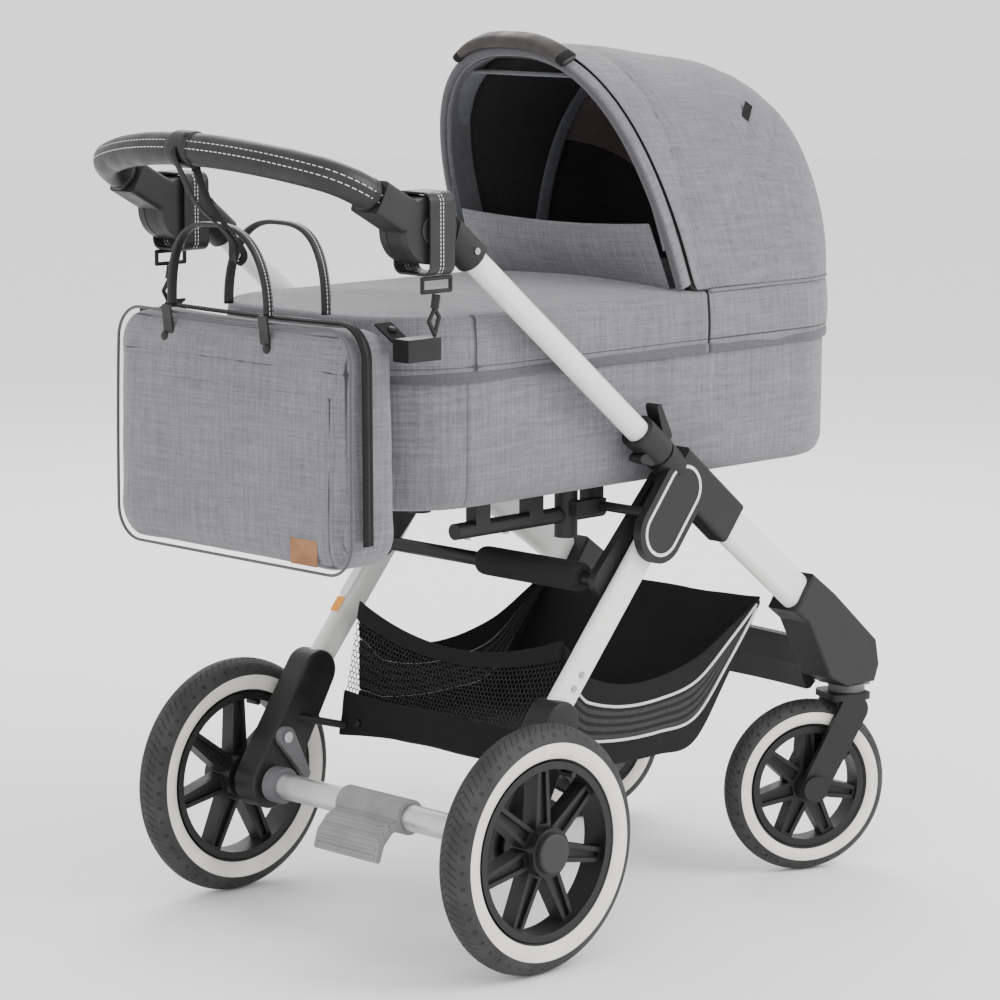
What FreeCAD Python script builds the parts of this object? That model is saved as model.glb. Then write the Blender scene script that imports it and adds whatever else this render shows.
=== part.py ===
"""Baby stroller with a carrycot, a changing bag and air tyres.

Frame: +X points forward to the small swivel wheels, +Y to the left, +Z up. The ground is Z = 0 and
the origin lies under the middle of the stroller. All lengths are millimetres. Each function makes
one sub-part, and the table at the end writes every node to its own STEP file.
"""
import FreeCAD
import Part
import os
from math import acos, cos, degrees, pi, radians, sin, sqrt

V = FreeCAD.Vector
LEFT_RIGHT = (1, -1)

# --- Driving dimensions ---------------------------------------------------------------------

# clearances
PRESS = 0.05            # radial play of a tube or pin in its bore
SLIP = 0.3              # gap between two parts that move past each other
SEAT = 0.2              # gap between a part and the face that carries it
CUT = 1.0               # how far a cutting shape stands past the face it cuts

# cot
COT_REAR = -325.0
COT_FRONT = 483.0
COT_HALF = 189.5
COT_CORNER = 120.0
COT_BOTTOM = 546.5
COT_H = 225.0
COT_WALL = 12.0
COT_FLOOR = 14.0
COT_EDGE = 20.0
MATTRESS_T = 40.0
MATTRESS_PLAY = 1.5
MATTRESS_EDGE = 10.0
SKIRT_GAP = 1.0
SKIRT_T = 3.5
SKIRT_H = 69.5
APRON_T = 5.5
APRON_EDGE = 5.0
FLAP_T = 5.0
FLAP_H = 90.5
FLAP_IN = 17.0
FLAP_BACK = 3.0

# rear wheels
REAR_R = 150.0
REAR_X = -193.3
WHEEL_OUT = 36.0        # wheel's middle plane beyond the rear housing
REAR_TYRE_W = 46.0
REAR_RIM_R = 108.0
REAR_RIM_W = 36.0
REAR_HUB_R = 30.0
REAR_HUB_W = 48.0
REAR_AXLE_R = 6.0
HUB_CAP_R = 24.0
HUB_CAP_T = 7.0

# front wheels and casters
FRONT_R = 113.0
FRONT_TYRE_W = 38.0
FRONT_RIM_R = 79.5
FRONT_RIM_W = 30.0
FRONT_HUB_R = 19.0
FRONT_HUB_W = 44.0
FRONT_AXLE_R = 5.0
KINGPIN_X = 453.6
KINGPIN_IN = 18.0       # kingpin inside the middle plane of the front leg
KINGPIN_R = 7.0
KINGPIN_UP = 27.0
KINGPIN_ROOT = 2.0
SLEEVE_R = 11.0
CASTER_TRAIL = 60.0
CASTER_TURN = -23.0
FORK_LEG_T = 8.0
FORK_LEG_R = 18.0
FORK_SHOULDER_R = 20.0
FORK_CROWN_T = 8.0
FORK_CROWN_BACK = 34.0
FORK_CROWN_AHEAD = 24.0
FORK_CROWN_CORNER = 14.0
FORK_DIP = 0.5          # crown's underside below the tyre's top, which lies behind it
FORK_GAP = 2.0
AXLE_CAP_R = 17.0
AXLE_CAP_T = 5.0

# wheel details
SPOKES = 7
RIM_T = 9.0
SPOKE_W_RIM = 17.0
SPOKE_W_HUB = 25.0
SPOKE_T = 22.0
DISH_DEEP = 5.0
TREAD_GROOVE = 2.0
BEAD_IN = 8.0
VALVE_R = 3.5
VALVE_L = 20.0

# main frame line: front legs and push tubes lie on one sloping line
FRAME_X = 186.0
FRAME_Z = 493.5
FRAME_SLOPE = 39.3
FRAME_ROOM = 28.5       # middle plane of the frame beyond the cot's side
LEG_DEEP = 48.0
LEG_WIDE = 25.0
LEG_OUT = 178.0
LEG_FALL = 131.0
LEG_TOE_IN = 13.0
LEG_IN_HUB = 45.0
TUBE_R = 15.0
TUBE_LOW = 122.0
TUBE_SHORT = 45.0       # end of the push tube before the knuckle's place on the line
SOCKET_LAP = 40.0
SOCKET_OVER = 12.0
SOCKET_SCREW_BACK = 26.0
SOCKET_R = 20.5

# hub housings
HUB_LOW = -8.0
HUB_HIGH = 122.0
NECK_HIGH = 148.0
NECK_R = 21.0
NECK_LAP = 6.0
SPINE_DEEP = 56.0
SPINE_INWARD = 14.6
SPINE_CORNER = 6.0
HUB_OUTWARD = 18.0
PLATE_T = 12.0
PLATE_X = 79.0
PLATE_Z = 518.0
PLATE_SPAN = 63.0
PLATE_ANGLE = 51.0
PLATE_R = 38.5
RING_R = 30.0
RING_W = 4.0
RING_T = 2.5
RING_PROUD = 0.5
BADGE_T = 1.8
TAPER = 0.01            # difference that keeps a hull's two arcs apart

# rear legs and fold joint
FOLD_X = 99.0
FOLD_Z = 545.0
REAR_LEG_X = 9.8
REAR_LEG_Z = 423.3
REAR_LEG_SLOPE = 49.5
REAR_LEG_DEEP = 38.0
REAR_LEG_WIDE = 19.0
REAR_LEG_UP = 106.4
REAR_LEG_DOWN = 232.0
LINK_GAP = 0.7
LINK_T = 11.2
LINK_R = 20.0
FOLD_PIN_R = 6.0
FOLD_PIN_IN = 13.0
FOLD_HEAD_R = 10.0
FOLD_HEAD_T = 3.5
CROSS_X = -5.0
CROSS_Z = 437.0
CROSS_R = 9.0
CROSS_END_R = 19.0
FOAM_R = 18.5
FOAM_FROM = -165.0
FOAM_TO = 10.0

# rear housings and axle
HOUSING_INWARD = 15.4
HOUSING_OUTWARD = 23.6
HOUSING_TOP = 186.0
HOUSING_TOP_R = 27.0
HOUSING_AXLE_R = 33.0
HOUSING_EDGE = 4.0
AXLE_BOSS_R = 22.0
AXLE_BOSS_L = 7.0
AXLE_TUBE_R = 16.5
AXLE_CLAMP_R = 23.0
AXLE_CLAMP_W = 18.0
AXLE_CLAMP_IN = 4.0
HOOK_ROOT = 10.0
HOOK_ROOT_R = 9.0
HOOK_TIP_R = 5.0
HOOK_L = 34.0
HOOK_FALL = 12.0
HOOK_T = 8.0
HOUSING_SCREWS = (118.0, 138.0)

# basket and its stays
BASKET_SIDE_ROOM = 5.5  # basket's side inside the link arm
BASKET_T = 2.5
BASKET_OUTER = ((-92, 204), (-58, 366), (-44, 366), (-16, 318), (70, 296), (176, 312), (296, 378),
                (306, 366), (182, 200), (92, 196))
BASKET_INNER = ((-88, 208), (-55, 380), (-44, 380), (-16, 380), (296, 380), (299, 369), (180, 204),
                (92, 200))
STAY_BACK = 41.3
STAY_UP = 79.0
STAY_R = 5.0
STAY_END_X = -92.8
STAY_END_Z = 213.0
STAY_END_IN = 14.0
STAY_IN_HOUSING = 4.0

# wheel release levers
LEVER_AHEAD = 17.3
LEVER_UP = 58.0
LEVER_PIN_R = 4.0
LEVER_HEAD = 3.0
LEVER_T = 8.0
LEVER_REACH = 32.24
LEVER_RISE = 52.0
LEVER_ROOT_R = 13.0
LEVER_TIP_R = 6.0

# brake pedal
PEDAL_W = 112.0
PEDAL_RING_R = 22.0
PEDAL_T = 4.0
PEDAL_CURVE = ((-14, -4), (-34, -12), (-48, -26), (-54, -44))
RIDGE_R = 2.2
RIDGE_SHORT = 4.0
RIDGE_SHARES = (0.35, 0.85)

# handle knuckles
KNUCKLE_BEHIND = 2.0    # knuckle's axis behind the cot's rear face
KNUCKLE_Z = 885.0
KNUCKLE_R = 39.0
KNUCKLE_IN = 4.0
KNUCKLE_W = 46.0
BASE_W = 23.0
BASE_UNDER = 0.5
BRIDGE_ROOT = 8.0
BRIDGE_TIP_R = 16.0
HANDLE_RISE = 29.0
ARM_ROOT = 20.0
ARM_ROOM = 2.5
ARM_DEEP = 40.0
KNUCKLE_AXLE_R = 8.0
BUTTON_R = 16.0
BUTTON_T = 5.0
BUTTON_PROUD = 2.5
BUTTON_EDGE = 1.5
BUTTON_TRAVEL = 4.0
SCREW_R = 4.0
SCREW_T = 2.0
SCREW_SUNK = 1.2

# handlebar
BAR_R = 19.0
BAR_OUT = 2.0
BAR_START = 84.5
BAR_BEND = 88.7
BAR_BOW = 91.8
BAR_CORNER_R = 55.0
BAND_W = 40.0
BAND_T = 2.5
WEB_W = 18.0
WEB_T = 2.0
WEB_DROPS = ((0, 0, -20.0), (2, -14, -54.0), (18.9, -38, -100.5), (20.9, -52, -126.5))

# fold collars
COLLAR_FROM = 152.5
COLLAR_L = 46.0
COLLAR_R = 22.0
TAB_T = 7.0
TAB_L = 16.0
TAB_IN = 8.0
TAB_OUT = 12.0

# front knees and cross bow
KNEE_W = 52.0
KNEE_LAP = 30.0
KNEE_WALL = 4.0
KNEE_EDGE = 4.0
KNEE_NOSE = ((30, 55.5), (36.5, 21.5), (28, 0), (-26, 0), (-62, 17.5))
KNEE_BROW = (20, -14)
FITTING = ((-20, 21.5), (-12, 33.5))
FITTING_R = 9.0
FITTING_T = 6.0
FITTING_HOLE_R = 2.5
BOW_PLAN_R = 1060.0
BOW_X = 405.0
BOW_SECTION = ((-7, 64.5), (3, 64.5), (13, 41.5), (29, -0.5), (22, -6.5), (13, -6.5), (-1, 27.5))
TREAD_SECTION = ((13.6, 41.5), (29.6, -0.5), (32, 0.5), (16, 42.5))

# swivel lock rings
LOCK_H = 11.0
LOCK_R = 24.0
LOCK_TAB_L = 42.0
LOCK_TAB_W = 15.0
LOCK_TAB_IN = 3.0
LOCK_TAB_CORNER = 5.0

# cot carriers on the frame
RAIL_Y = 130.0
RAIL_UNDER = 35.5
RAIL_R = 10.0
RAIL_FROM = -190.0
RAIL_TO = 62.0
RAIL_BOLTS = (-168.0, -104.0)
BOLT_SEAT = 3.0
POST_X = 0.0
POST_R = 14.5
POST_UNDER = 63.5
SADDLES = (-150.0, -60.0, 45.0)
SADDLE_L = 24.0
SADDLE_HALF = 9.0
ROD_X = 36.0
ROD_Z = 520.0
ROD_R = 6.0
ROD_IN_PLATE = 4.0
ARM_INNER = 12.0
ARM_OUTER = 26.0
ARM_HALF = 9.0
ARM_AHEAD = 8.0

# hood
HOOD_BACK = 313.0       # hood pivot behind the cot's front
HOOD_UP = 14.5          # hood pivot above the cot's edge
HOOD_LOBE_R = 14.0
HOOD_LOBE_UP = 18.0
HOOD_LOBE_ROOM = 16.0
BOW_BACK = 11.0
BOW_LEAN = 21.3
BOW_HEIGHT = 314.0
BOW_IN = 0.5
BOW_BAND = 11.0
BOW_T = 15.0
ARCH_POWER = 2.55
CANOPY_UP = 5.5
CANOPY_T = 4.0
CANOPY_STATIONS = ((-513, 1.0, 309), (-423, 1.0, 303), (-268, 1.0, 292), (-183, 1.0, 280),
                   (-133, 1.0, 265), (-93, 0.985, 243), (-65, 0.934, 216), (-43, 0.863, 169),
                   (-23, 0.761, 116), (-3, 0.61, 61), (11, 0.47, 26))
APRON_TOP_BACK = 11.0
APRON_SIDE_AHEAD = 15.0
SKIRT_SPLIT = 2.0
HOOD_HANDLE_HALF = 95.0
HOOD_HANDLE_T = 17.0
HOOD_HANDLE_W = 26.0
HOOD_HANDLE_FALL = 0.45

# straps, hooks and bag
STRAP_W = 38.0
STRAP_T = 3.0
STRAP_AHEAD = 9.0
STRAP_ROOM_IN = 5.0
STRAP_ROOM_OUT = 5.5
STRAP_ROOM_TOP = 1.1
STRAP_DROP = 10.0
STRAP_CORNER = 9.0
STRAP_HOOK_IN = 8.0
RING_WIRE = 2.5
RING_H = 15.0
RING_REACH = 3.0
HOOK_R = 5.0
HOOK_NECK = 16.0
HOOK_LEAN = 3.0
EYE_DROP = 46.0
EYE_SIDES = ((4, 26), (-12, 30))
EAR_IN = 4.5
EAR_H = 26.0
EAR_LAP = 20.0
EAR_AHEAD = 4.0
BAG_BEHIND = 18.0
BAG_DEEP = 90.0
BAG_IN = 6.0
BAG_ABOVE_EAR = 16.9
BAG_H = 290.0
BAG_CORNER = 38.4
BAG_EDGE = 8.0
LOOP_W = 14.0
LOOP_T = 7.0
LOOP_HALF = 90.0
LOOP_RISE = 105.0
LOOP_INSET = 8.0
LOOP_SHOULDER = 0.35
LOOP_MIDDLES = (20.0, -10.0)

# --- Values that follow ---------------------------------------------------------------------

UP_LINE = V(-cos(radians(FRAME_SLOPE)), 0, sin(radians(FRAME_SLOPE)))
UNDER_LINE = V(-sin(radians(FRAME_SLOPE)), 0, -cos(radians(FRAME_SLOPE)))
REAR_DOWN = V(-cos(radians(REAR_LEG_SLOPE)), 0, -sin(radians(REAR_LEG_SLOPE)))
ARM_DIR = V(-cos(radians(HANDLE_RISE)), 0, sin(radians(HANDLE_RISE)))
BOW_DIR = V(-sin(radians(BOW_LEAN)), 0, cos(radians(BOW_LEAN)))
BOW_NORMAL = V(-cos(radians(BOW_LEAN)), 0, -sin(radians(BOW_LEAN)))

# across the width, from the cot's side outwards
FRAME_Y = COT_HALF + FRAME_ROOM
KINGPIN_Y = FRAME_Y - KINGPIN_IN
HUB_OUT = FRAME_Y + HUB_OUTWARD
SPINE_IN = FRAME_Y - SPINE_INWARD
LINK_OUT = SPINE_IN - LINK_GAP
LINK_IN = LINK_OUT - LINK_T
REAR_LEG_Y = LINK_OUT + SEAT + REAR_LEG_WIDE / 2
HOUSING_IN = REAR_LEG_Y - HOUSING_INWARD
HOUSING_OUT = REAR_LEG_Y + HOUSING_OUTWARD
AXLE_BOSS_OUT = HOUSING_OUT + AXLE_BOSS_L
REAR_Y = HOUSING_OUT + WHEEL_OUT
BASKET_HALF = LINK_IN - BASKET_SIDE_ROOM
KNUCKLE_Y = FRAME_Y - KNUCKLE_IN
BAR_Y = KNUCKLE_Y + BAR_OUT
STRAP_IN = KNUCKLE_Y - KNUCKLE_W / 2 - STRAP_ROOM_IN
STRAP_OUT = KNUCKLE_Y + KNUCKLE_W / 2 + STRAP_ROOM_OUT
BAG_HALF = FRAME_Y - BAG_IN
BOW_HALF = COT_HALF - BOW_IN
FLAP_HALF = BOW_HALF - FLAP_IN

# wheels and knees
REAR_HUB = V(REAR_X, 0, REAR_R)
LEVER_X = REAR_X + LEVER_AHEAD
LEVER_Z = REAR_R + LEVER_UP
FORK_CROWN_BOTTOM = 2 * FRONT_R - FORK_DIP
FORK_CROWN_TOP = FORK_CROWN_BOTTOM + FORK_CROWN_T
KNEE_BOTTOM = FORK_CROWN_TOP + LOCK_H
SLEEVE_LOW = FORK_CROWN_TOP + SLIP

# cot and hood
COT_TOP = COT_BOTTOM + COT_H
SKIRT_BOTTOM = COT_TOP - SKIRT_H
RAIL_Z = COT_BOTTOM - RAIL_UNDER
POST_BOTTOM = COT_BOTTOM - POST_UNDER
HOOD_X = COT_FRONT - HOOD_BACK
HOOD_Z = COT_TOP + HOOD_UP
BOW_BASE_X = HOOD_X - BOW_BACK
CANOPY_BASE = COT_TOP + CANOPY_UP
APRON_TOP_X = BOW_BASE_X - APRON_TOP_BACK
APRON_SIDE_X = HOOD_X + APRON_SIDE_AHEAD
FLAP_TOP = COT_TOP + FLAP_H

# handle, and the bag that hangs on it
KNUCKLE_X = COT_REAR - KNUCKLE_BEHIND
KNUCKLE_ON_LINE = V(KNUCKLE_X - FRAME_X, 0, KNUCKLE_Z - FRAME_Z).dot(UP_LINE)
TUBE_HIGH = KNUCKLE_ON_LINE - TUBE_SHORT
SOCKET_FROM = TUBE_HIGH - SOCKET_LAP
SOCKET_TO = TUBE_HIGH + SOCKET_OVER
SOCKET_SCREW = TUBE_HIGH - SOCKET_SCREW_BACK
STRAP_X = KNUCKLE_X + STRAP_AHEAD
STRAP_TOP = KNUCKLE_Z + KNUCKLE_R + STRAP_ROOM_TOP
STRAP_LOW = KNUCKLE_Z - KNUCKLE_R - STRAP_DROP
RING_TOP = STRAP_LOW - STRAP_T - RING_WIRE - SEAT
HOOK_TOP = RING_TOP - RING_H - RING_WIRE - 5 * SEAT
EYE_LOW = HOOK_TOP - EYE_DROP
EAR_TOP = EYE_LOW - RING_WIRE - SEAT
BAG_TOP = EAR_TOP + BAG_ABOVE_EAR
BAG_BOTTOM = BAG_TOP - BAG_H
BAG_FRONT = KNUCKLE_X - BAG_BEHIND
BAG_REAR = BAG_FRONT - BAG_DEEP


# --- Helpers --------------------------------------------------------------------------------

def on_line(t, side, under=0.0):
    """Point t up the main frame line, and a distance under it."""
    point = V(FRAME_X, side * FRAME_Y, FRAME_Z)
    return point + UP_LINE * t + UNDER_LINE * under


def on_rear_leg(t, y):
    """Point t down the rear leg line at the given y."""
    return V(REAR_LEG_X, y, REAR_LEG_Z) + REAR_DOWN * t


def rod(start, end, radius):
    """Solid cylinder from start to end."""
    axis = end - start
    return Part.makeCylinder(radius, axis.Length, start, axis)


def rod_y(x, z, y_from, y_to, radius):
    """Solid cylinder along Y between two values of y, in either order."""
    low = min(y_from, y_to)
    return Part.makeCylinder(radius, abs(y_to - y_from), V(x, low, z), V(0, 1, 0))


def box(x0, x1, y0, y1, z0, z1):
    """Box between two corners, with each pair in either order."""
    corner = V(min(x0, x1), min(y0, y1), min(z0, z1))
    return Part.makeBox(abs(x1 - x0), abs(y1 - y0), abs(z1 - z0), corner)


def stadium_wire(length, radius):
    """Stadium in the XY plane about the origin, long along X between its two arc centres."""
    h = length / 2
    top = Part.LineSegment(V(-h, radius, 0), V(h, radius, 0)).toShape()
    right = Part.Arc(V(h, radius, 0), V(h + radius, 0, 0), V(h, -radius, 0)).toShape()
    bottom = Part.LineSegment(V(h, -radius, 0), V(-h, -radius, 0)).toShape()
    left = Part.Arc(V(-h, -radius, 0), V(-h - radius, 0, 0), V(-h, radius, 0)).toShape()
    return Part.Wire([top, right, bottom, left])


def oval_bar(start, end, deep, wide):
    """Flat-oval bar from start to end, deep in the upright plane and wide along Y."""
    axis = end - start
    face = Part.Face(stadium_wire(deep - wide, wide / 2))
    bar = face.extrude(V(0, 0, axis.Length))
    z_dir = V(axis).normalize()
    y_dir = (V(0, 1, 0) - z_dir * z_dir.y).normalize()
    x_dir = y_dir.cross(z_dir)
    turn = FreeCAD.Rotation(x_dir, y_dir, z_dir, "ZXY")
    bar.Placement = FreeCAD.Placement(start, turn)
    return bar


def hull_wire(a, ra, b, rb, y):
    """Outline of two circles in an upright plane, joined by their outer tangents."""
    axis = b - a
    gap = axis.Length
    along = V(axis).normalize()
    across = V(-along.z, 0, along.x)
    lean = acos((ra - rb) / gap)

    def at(centre, radius, angle):
        """Point on a circle at an angle from the line through both centres."""
        point = centre + along * (radius * cos(angle)) + across * (radius * sin(angle))
        return V(point.x, y, point.z)

    first = Part.LineSegment(at(a, ra, lean), at(b, rb, lean)).toShape()
    nose = Part.Arc(at(b, rb, lean), at(b, rb, 0), at(b, rb, -lean)).toShape()
    second = Part.LineSegment(at(b, rb, -lean), at(a, ra, -lean)).toShape()
    tail = Part.Arc(at(a, ra, -lean), at(a, ra, pi), at(a, ra, lean)).toShape()
    return Part.Wire([first, nose, second, tail])


def hull_plate(a, ra, b, rb, y_from, y_to):
    """Plate shaped as the hull of two circles, between two values of y."""
    low = min(y_from, y_to)
    face = Part.Face(hull_wire(a, ra, b, rb, low))
    return face.extrude(V(0, abs(y_to - y_from), 0))


def prism_y(points, y_from, y_to):
    """Prism of (x, z) points between two values of y."""
    low = min(y_from, y_to)
    ring = [V(x, low, z) for x, z in points]
    ring.append(ring[0])
    return Part.Face(Part.makePolygon(ring)).extrude(V(0, abs(y_to - y_from), 0))


def rounded_plan(x0, x1, half, corner, z0, z1):
    """Upright block with a rounded-rectangle plan."""
    block = box(x0, x1, -half, half, z0, z1)
    upright = [e for e in block.Edges if abs(e.tangentAt(e.FirstParameter).z) > 0.99]
    return block.makeFillet(corner, upright)


def edges_at(shape, z):
    """Edges that lie in the level plane z."""
    level = []
    for edge in shape.Edges:
        span = edge.BoundBox
        if abs(span.ZMin - z) < 1e-3 and abs(span.ZMax - z) < 1e-3:
            level.append(edge)
    return level


def fused(first, *others):
    """Union of all shapes, as one clean solid."""
    shape = first
    for other in others:
        shape = shape.fuse(other)
    return shape.removeSplitter()


def both_sides(make):
    """Left and right solids of a function of the side."""
    return Part.makeCompound([make(side) for side in LEFT_RIGHT])


# --- Wheels ---------------------------------------------------------------------------------

def tyre(radius, width, bead_r, bead_w):
    """Tyre about the Y axis at the origin, with two tread grooves."""
    half = width / 2
    shoulder = radius - 0.58 * (radius - bead_r)
    crown = Part.Arc(V(0, -half, shoulder), V(0, 0, radius), V(0, half, shoulder)).toShape()
    middle = (shoulder + bead_r) / 2
    bulge = half - 0.12 * (half - bead_w / 2)
    right = Part.Arc(V(0, half, shoulder), V(0, bulge, middle), V(0, bead_w / 2, bead_r)).toShape()
    base = Part.LineSegment(V(0, bead_w / 2, bead_r), V(0, -bead_w / 2, bead_r)).toShape()
    left = Part.Arc(V(0, -bead_w / 2, bead_r), V(0, -bulge, middle), V(0, -half, shoulder)).toShape()
    section = Part.Face(Part.Wire([crown, right, base, left]))
    ring = section.revolve(V(0, 0, 0), V(0, 1, 0), 360)
    for y in (-width / 7, width / 7):
        groove = Part.makeTorus(radius - 0.4, TREAD_GROOVE / 2, V(0, y, 0), V(0, 1, 0))
        ring = ring.cut(groove)
    return ring


def rim(outer_r, rim_w, hub_r, hub_w, bore_r):
    """Rim, hub and spokes about the Y axis at the origin, as one solid."""
    ring = rod_y(0, 0, -rim_w / 2, rim_w / 2, outer_r)
    ring = ring.cut(rod_y(0, 0, -rim_w / 2, rim_w / 2, outer_r - RIM_T))
    body = ring.fuse(rod_y(0, 0, -hub_w / 2, hub_w / 2, hub_r))
    reach = outer_r - RIM_T / 2
    root = hub_r * 0.8
    for number in range(SPOKES):
        points = [(-SPOKE_W_HUB / 2, root), (SPOKE_W_HUB / 2, root),
                  (SPOKE_W_RIM / 2, reach), (-SPOKE_W_RIM / 2, reach)]
        spoke = prism_y(points, -SPOKE_T / 2, SPOKE_T / 2)
        dish = prism_y([(-SPOKE_W_HUB / 2 + 6, hub_r + 3), (SPOKE_W_HUB / 2 - 6, hub_r + 3),
                        (SPOKE_W_RIM / 2 - 5, reach - 8), (-SPOKE_W_RIM / 2 + 5, reach - 8)],
                       SPOKE_T / 2 - DISH_DEEP, SPOKE_T / 2)
        spoke = spoke.cut(dish)
        spoke = spoke.cut(dish.mirror(V(0, 0, 0), V(0, 1, 0)))
        spoke.rotate(V(0, 0, 0), V(0, 1, 0), number * 360 / SPOKES)
        body = body.fuse(spoke)
    body = body.removeSplitter()
    return body.cut(rod_y(0, 0, -hub_w, hub_w, bore_r + PRESS))


def valve(outer_r, side):
    """Valve stem standing sideways out of the rim, between two spokes."""
    angle = pi / SPOKES
    seat = outer_r - RIM_T - VALVE_R - SEAT / 4
    stem = rod_y(seat * sin(angle), seat * cos(angle), 0, side * VALVE_L, VALVE_R)
    return stem


def rear_wheel_at(shape, side):
    """Move a wheel part from the origin to its rear wheel centre."""
    shape.translate(V(REAR_X, side * REAR_Y, REAR_R))
    return shape


def rear_tyre(side):
    """Rear tyre on one side."""
    return rear_wheel_at(tyre(REAR_R, REAR_TYRE_W, REAR_RIM_R + PRESS, REAR_RIM_W - BEAD_IN), side)


def rear_rim(side):
    """Rear rim with its valve stem."""
    wheel = rim(REAR_RIM_R, REAR_RIM_W, REAR_HUB_R, REAR_HUB_W, REAR_AXLE_R)
    return rear_wheel_at(Part.makeCompound([wheel, valve(REAR_RIM_R, side)]), side)


def rear_cap(side):
    """Round cap over the outer end of the rear hub."""
    face = REAR_HUB_W / 2
    cap = rod_y(0, 0, side * face, side * (face + HUB_CAP_T), HUB_CAP_R)
    outer = [e for e in cap.Edges if abs(e.BoundBox.YMin - side * (face + HUB_CAP_T)) < 0.01
             and abs(e.BoundBox.YMax - side * (face + HUB_CAP_T)) < 0.01]
    return rear_wheel_at(cap.makeFillet(HUB_CAP_T * 0.45, outer), side)


def caster_at(shape, side):
    """Turn and move a caster part, made about its kingpin at the origin, to its place."""
    shape.rotate(V(0, 0, 0), V(0, 0, 1), CASTER_TURN)
    shape.translate(V(KINGPIN_X, side * KINGPIN_Y, 0))
    return shape


def front_wheel_at(shape, side):
    """Move a front wheel part from the origin behind its kingpin and to its place."""
    shape.translate(V(-CASTER_TRAIL, 0, FRONT_R))
    return caster_at(shape, side)


def front_tyre(side):
    """Front tyre on one side."""
    ring = tyre(FRONT_R, FRONT_TYRE_W, FRONT_RIM_R + PRESS, FRONT_RIM_W - BEAD_IN)
    return front_wheel_at(ring, side)


def front_rim(side):
    """Front rim with its valve stem."""
    wheel = rim(FRONT_RIM_R, FRONT_RIM_W, FRONT_HUB_R, FRONT_HUB_W, FRONT_AXLE_R)
    return front_wheel_at(Part.makeCompound([wheel, valve(FRONT_RIM_R, side)]), side)


def fork_faces():
    """Inner and outer distance of the fork legs from the wheel's middle plane."""
    inner = FRONT_HUB_W / 2 + FORK_GAP
    return inner, inner + FORK_LEG_T


def fork(side):
    """Fork with its crown, two legs and kingpin."""
    inner, outer = fork_faces()
    crown = box(-FORK_CROWN_BACK, FORK_CROWN_AHEAD, -outer, outer, FORK_CROWN_BOTTOM, FORK_CROWN_TOP)
    upright = [e for e in crown.Edges if abs(e.tangentAt(e.FirstParameter).z) > 0.99]
    body = crown.makeFillet(FORK_CROWN_CORNER, upright)
    for sign in LEFT_RIGHT:
        top = V(-FORK_LEG_T / 2, 0, FORK_CROWN_TOP - FORK_SHOULDER_R)
        low = V(-CASTER_TRAIL, 0, FRONT_R)
        leg = hull_plate(top, FORK_SHOULDER_R, low, FORK_LEG_R, sign * inner, sign * outer)
        body = body.fuse(leg)
    pin_low = FORK_CROWN_TOP - KINGPIN_ROOT
    pin = Part.makeCylinder(KINGPIN_R, KNEE_BOTTOM + KINGPIN_UP - pin_low, V(0, 0, pin_low))
    body = body.fuse(pin).removeSplitter()
    bore = rod_y(-CASTER_TRAIL, FRONT_R, -outer - CUT, outer + CUT, FRONT_AXLE_R + PRESS)
    return caster_at(body.cut(bore), side)


def front_axle(side):
    """Axle pin of a front wheel, with a round cap on each fork leg."""
    outer = fork_faces()[1]
    body = rod_y(-CASTER_TRAIL, FRONT_R, -outer - AXLE_CAP_T / 2, outer + AXLE_CAP_T / 2, FRONT_AXLE_R)
    for sign in LEFT_RIGHT:
        face = sign * (outer + SEAT / 4)
        body = body.fuse(rod_y(-CASTER_TRAIL, FRONT_R, face, face + sign * AXLE_CAP_T, AXLE_CAP_R))
    return caster_at(body, side)


def lock_ring(side):
    """Swivel lock ring around the knee's sleeve, with a tab that points forward."""
    high = KNEE_BOTTOM - SLIP
    ring = Part.makeCylinder(LOCK_R, high - SLEEVE_LOW, V(0, 0, SLEEVE_LOW))
    tab = box(0, LOCK_TAB_L, -LOCK_TAB_W / 2, LOCK_TAB_W / 2, SLEEVE_LOW + LOCK_TAB_IN, high - LOCK_TAB_IN)
    corners = [e for e in tab.Edges if abs(e.tangentAt(e.FirstParameter).z) > 0.99
               and e.BoundBox.XMin > LOCK_TAB_L - CUT]
    body = fused(ring, tab.makeFillet(LOCK_TAB_CORNER, corners))
    hole = Part.makeCylinder(SLEEVE_R + PRESS, LOCK_H + 2 * CUT, V(0, 0, SLEEVE_LOW - CUT))
    body = body.cut(hole)
    body.translate(V(KINGPIN_X, side * KINGPIN_Y, 0))
    return body


# --- Main frame -----------------------------------------------------------------------------

def leg_ends(side, in_hub=0.0, past_knee=0.0):
    """Upper and lower end of a front leg's axis, drawn out at either end."""
    anchor = on_line(0, side)
    foot = anchor + V(LEG_OUT, -side * LEG_TOE_IN, -LEG_FALL)
    along = (anchor - foot).normalize()
    return anchor + along * (LEG_IN_HUB + in_hub), foot - along * past_knee


def front_leg(side):
    """Flat-oval front leg from inside the hub housing to inside the knee."""
    start, end = leg_ends(side)
    return oval_bar(start, end, LEG_DEEP, LEG_WIDE)


def push_tube(side):
    """Round push tube from the hub neck up to the handle knuckle."""
    return rod(on_line(TUBE_LOW, side), on_line(TUBE_HIGH, side), TUBE_R)


def plate_ends():
    """Upper and lower arc centres of the hub plate."""
    half = PLATE_SPAN / 2
    angle = radians(PLATE_ANGLE)
    reach = V(half * cos(angle), 0, half * sin(angle))
    centre = V(PLATE_X, 0, PLATE_Z)
    return centre + reach, centre - reach


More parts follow.
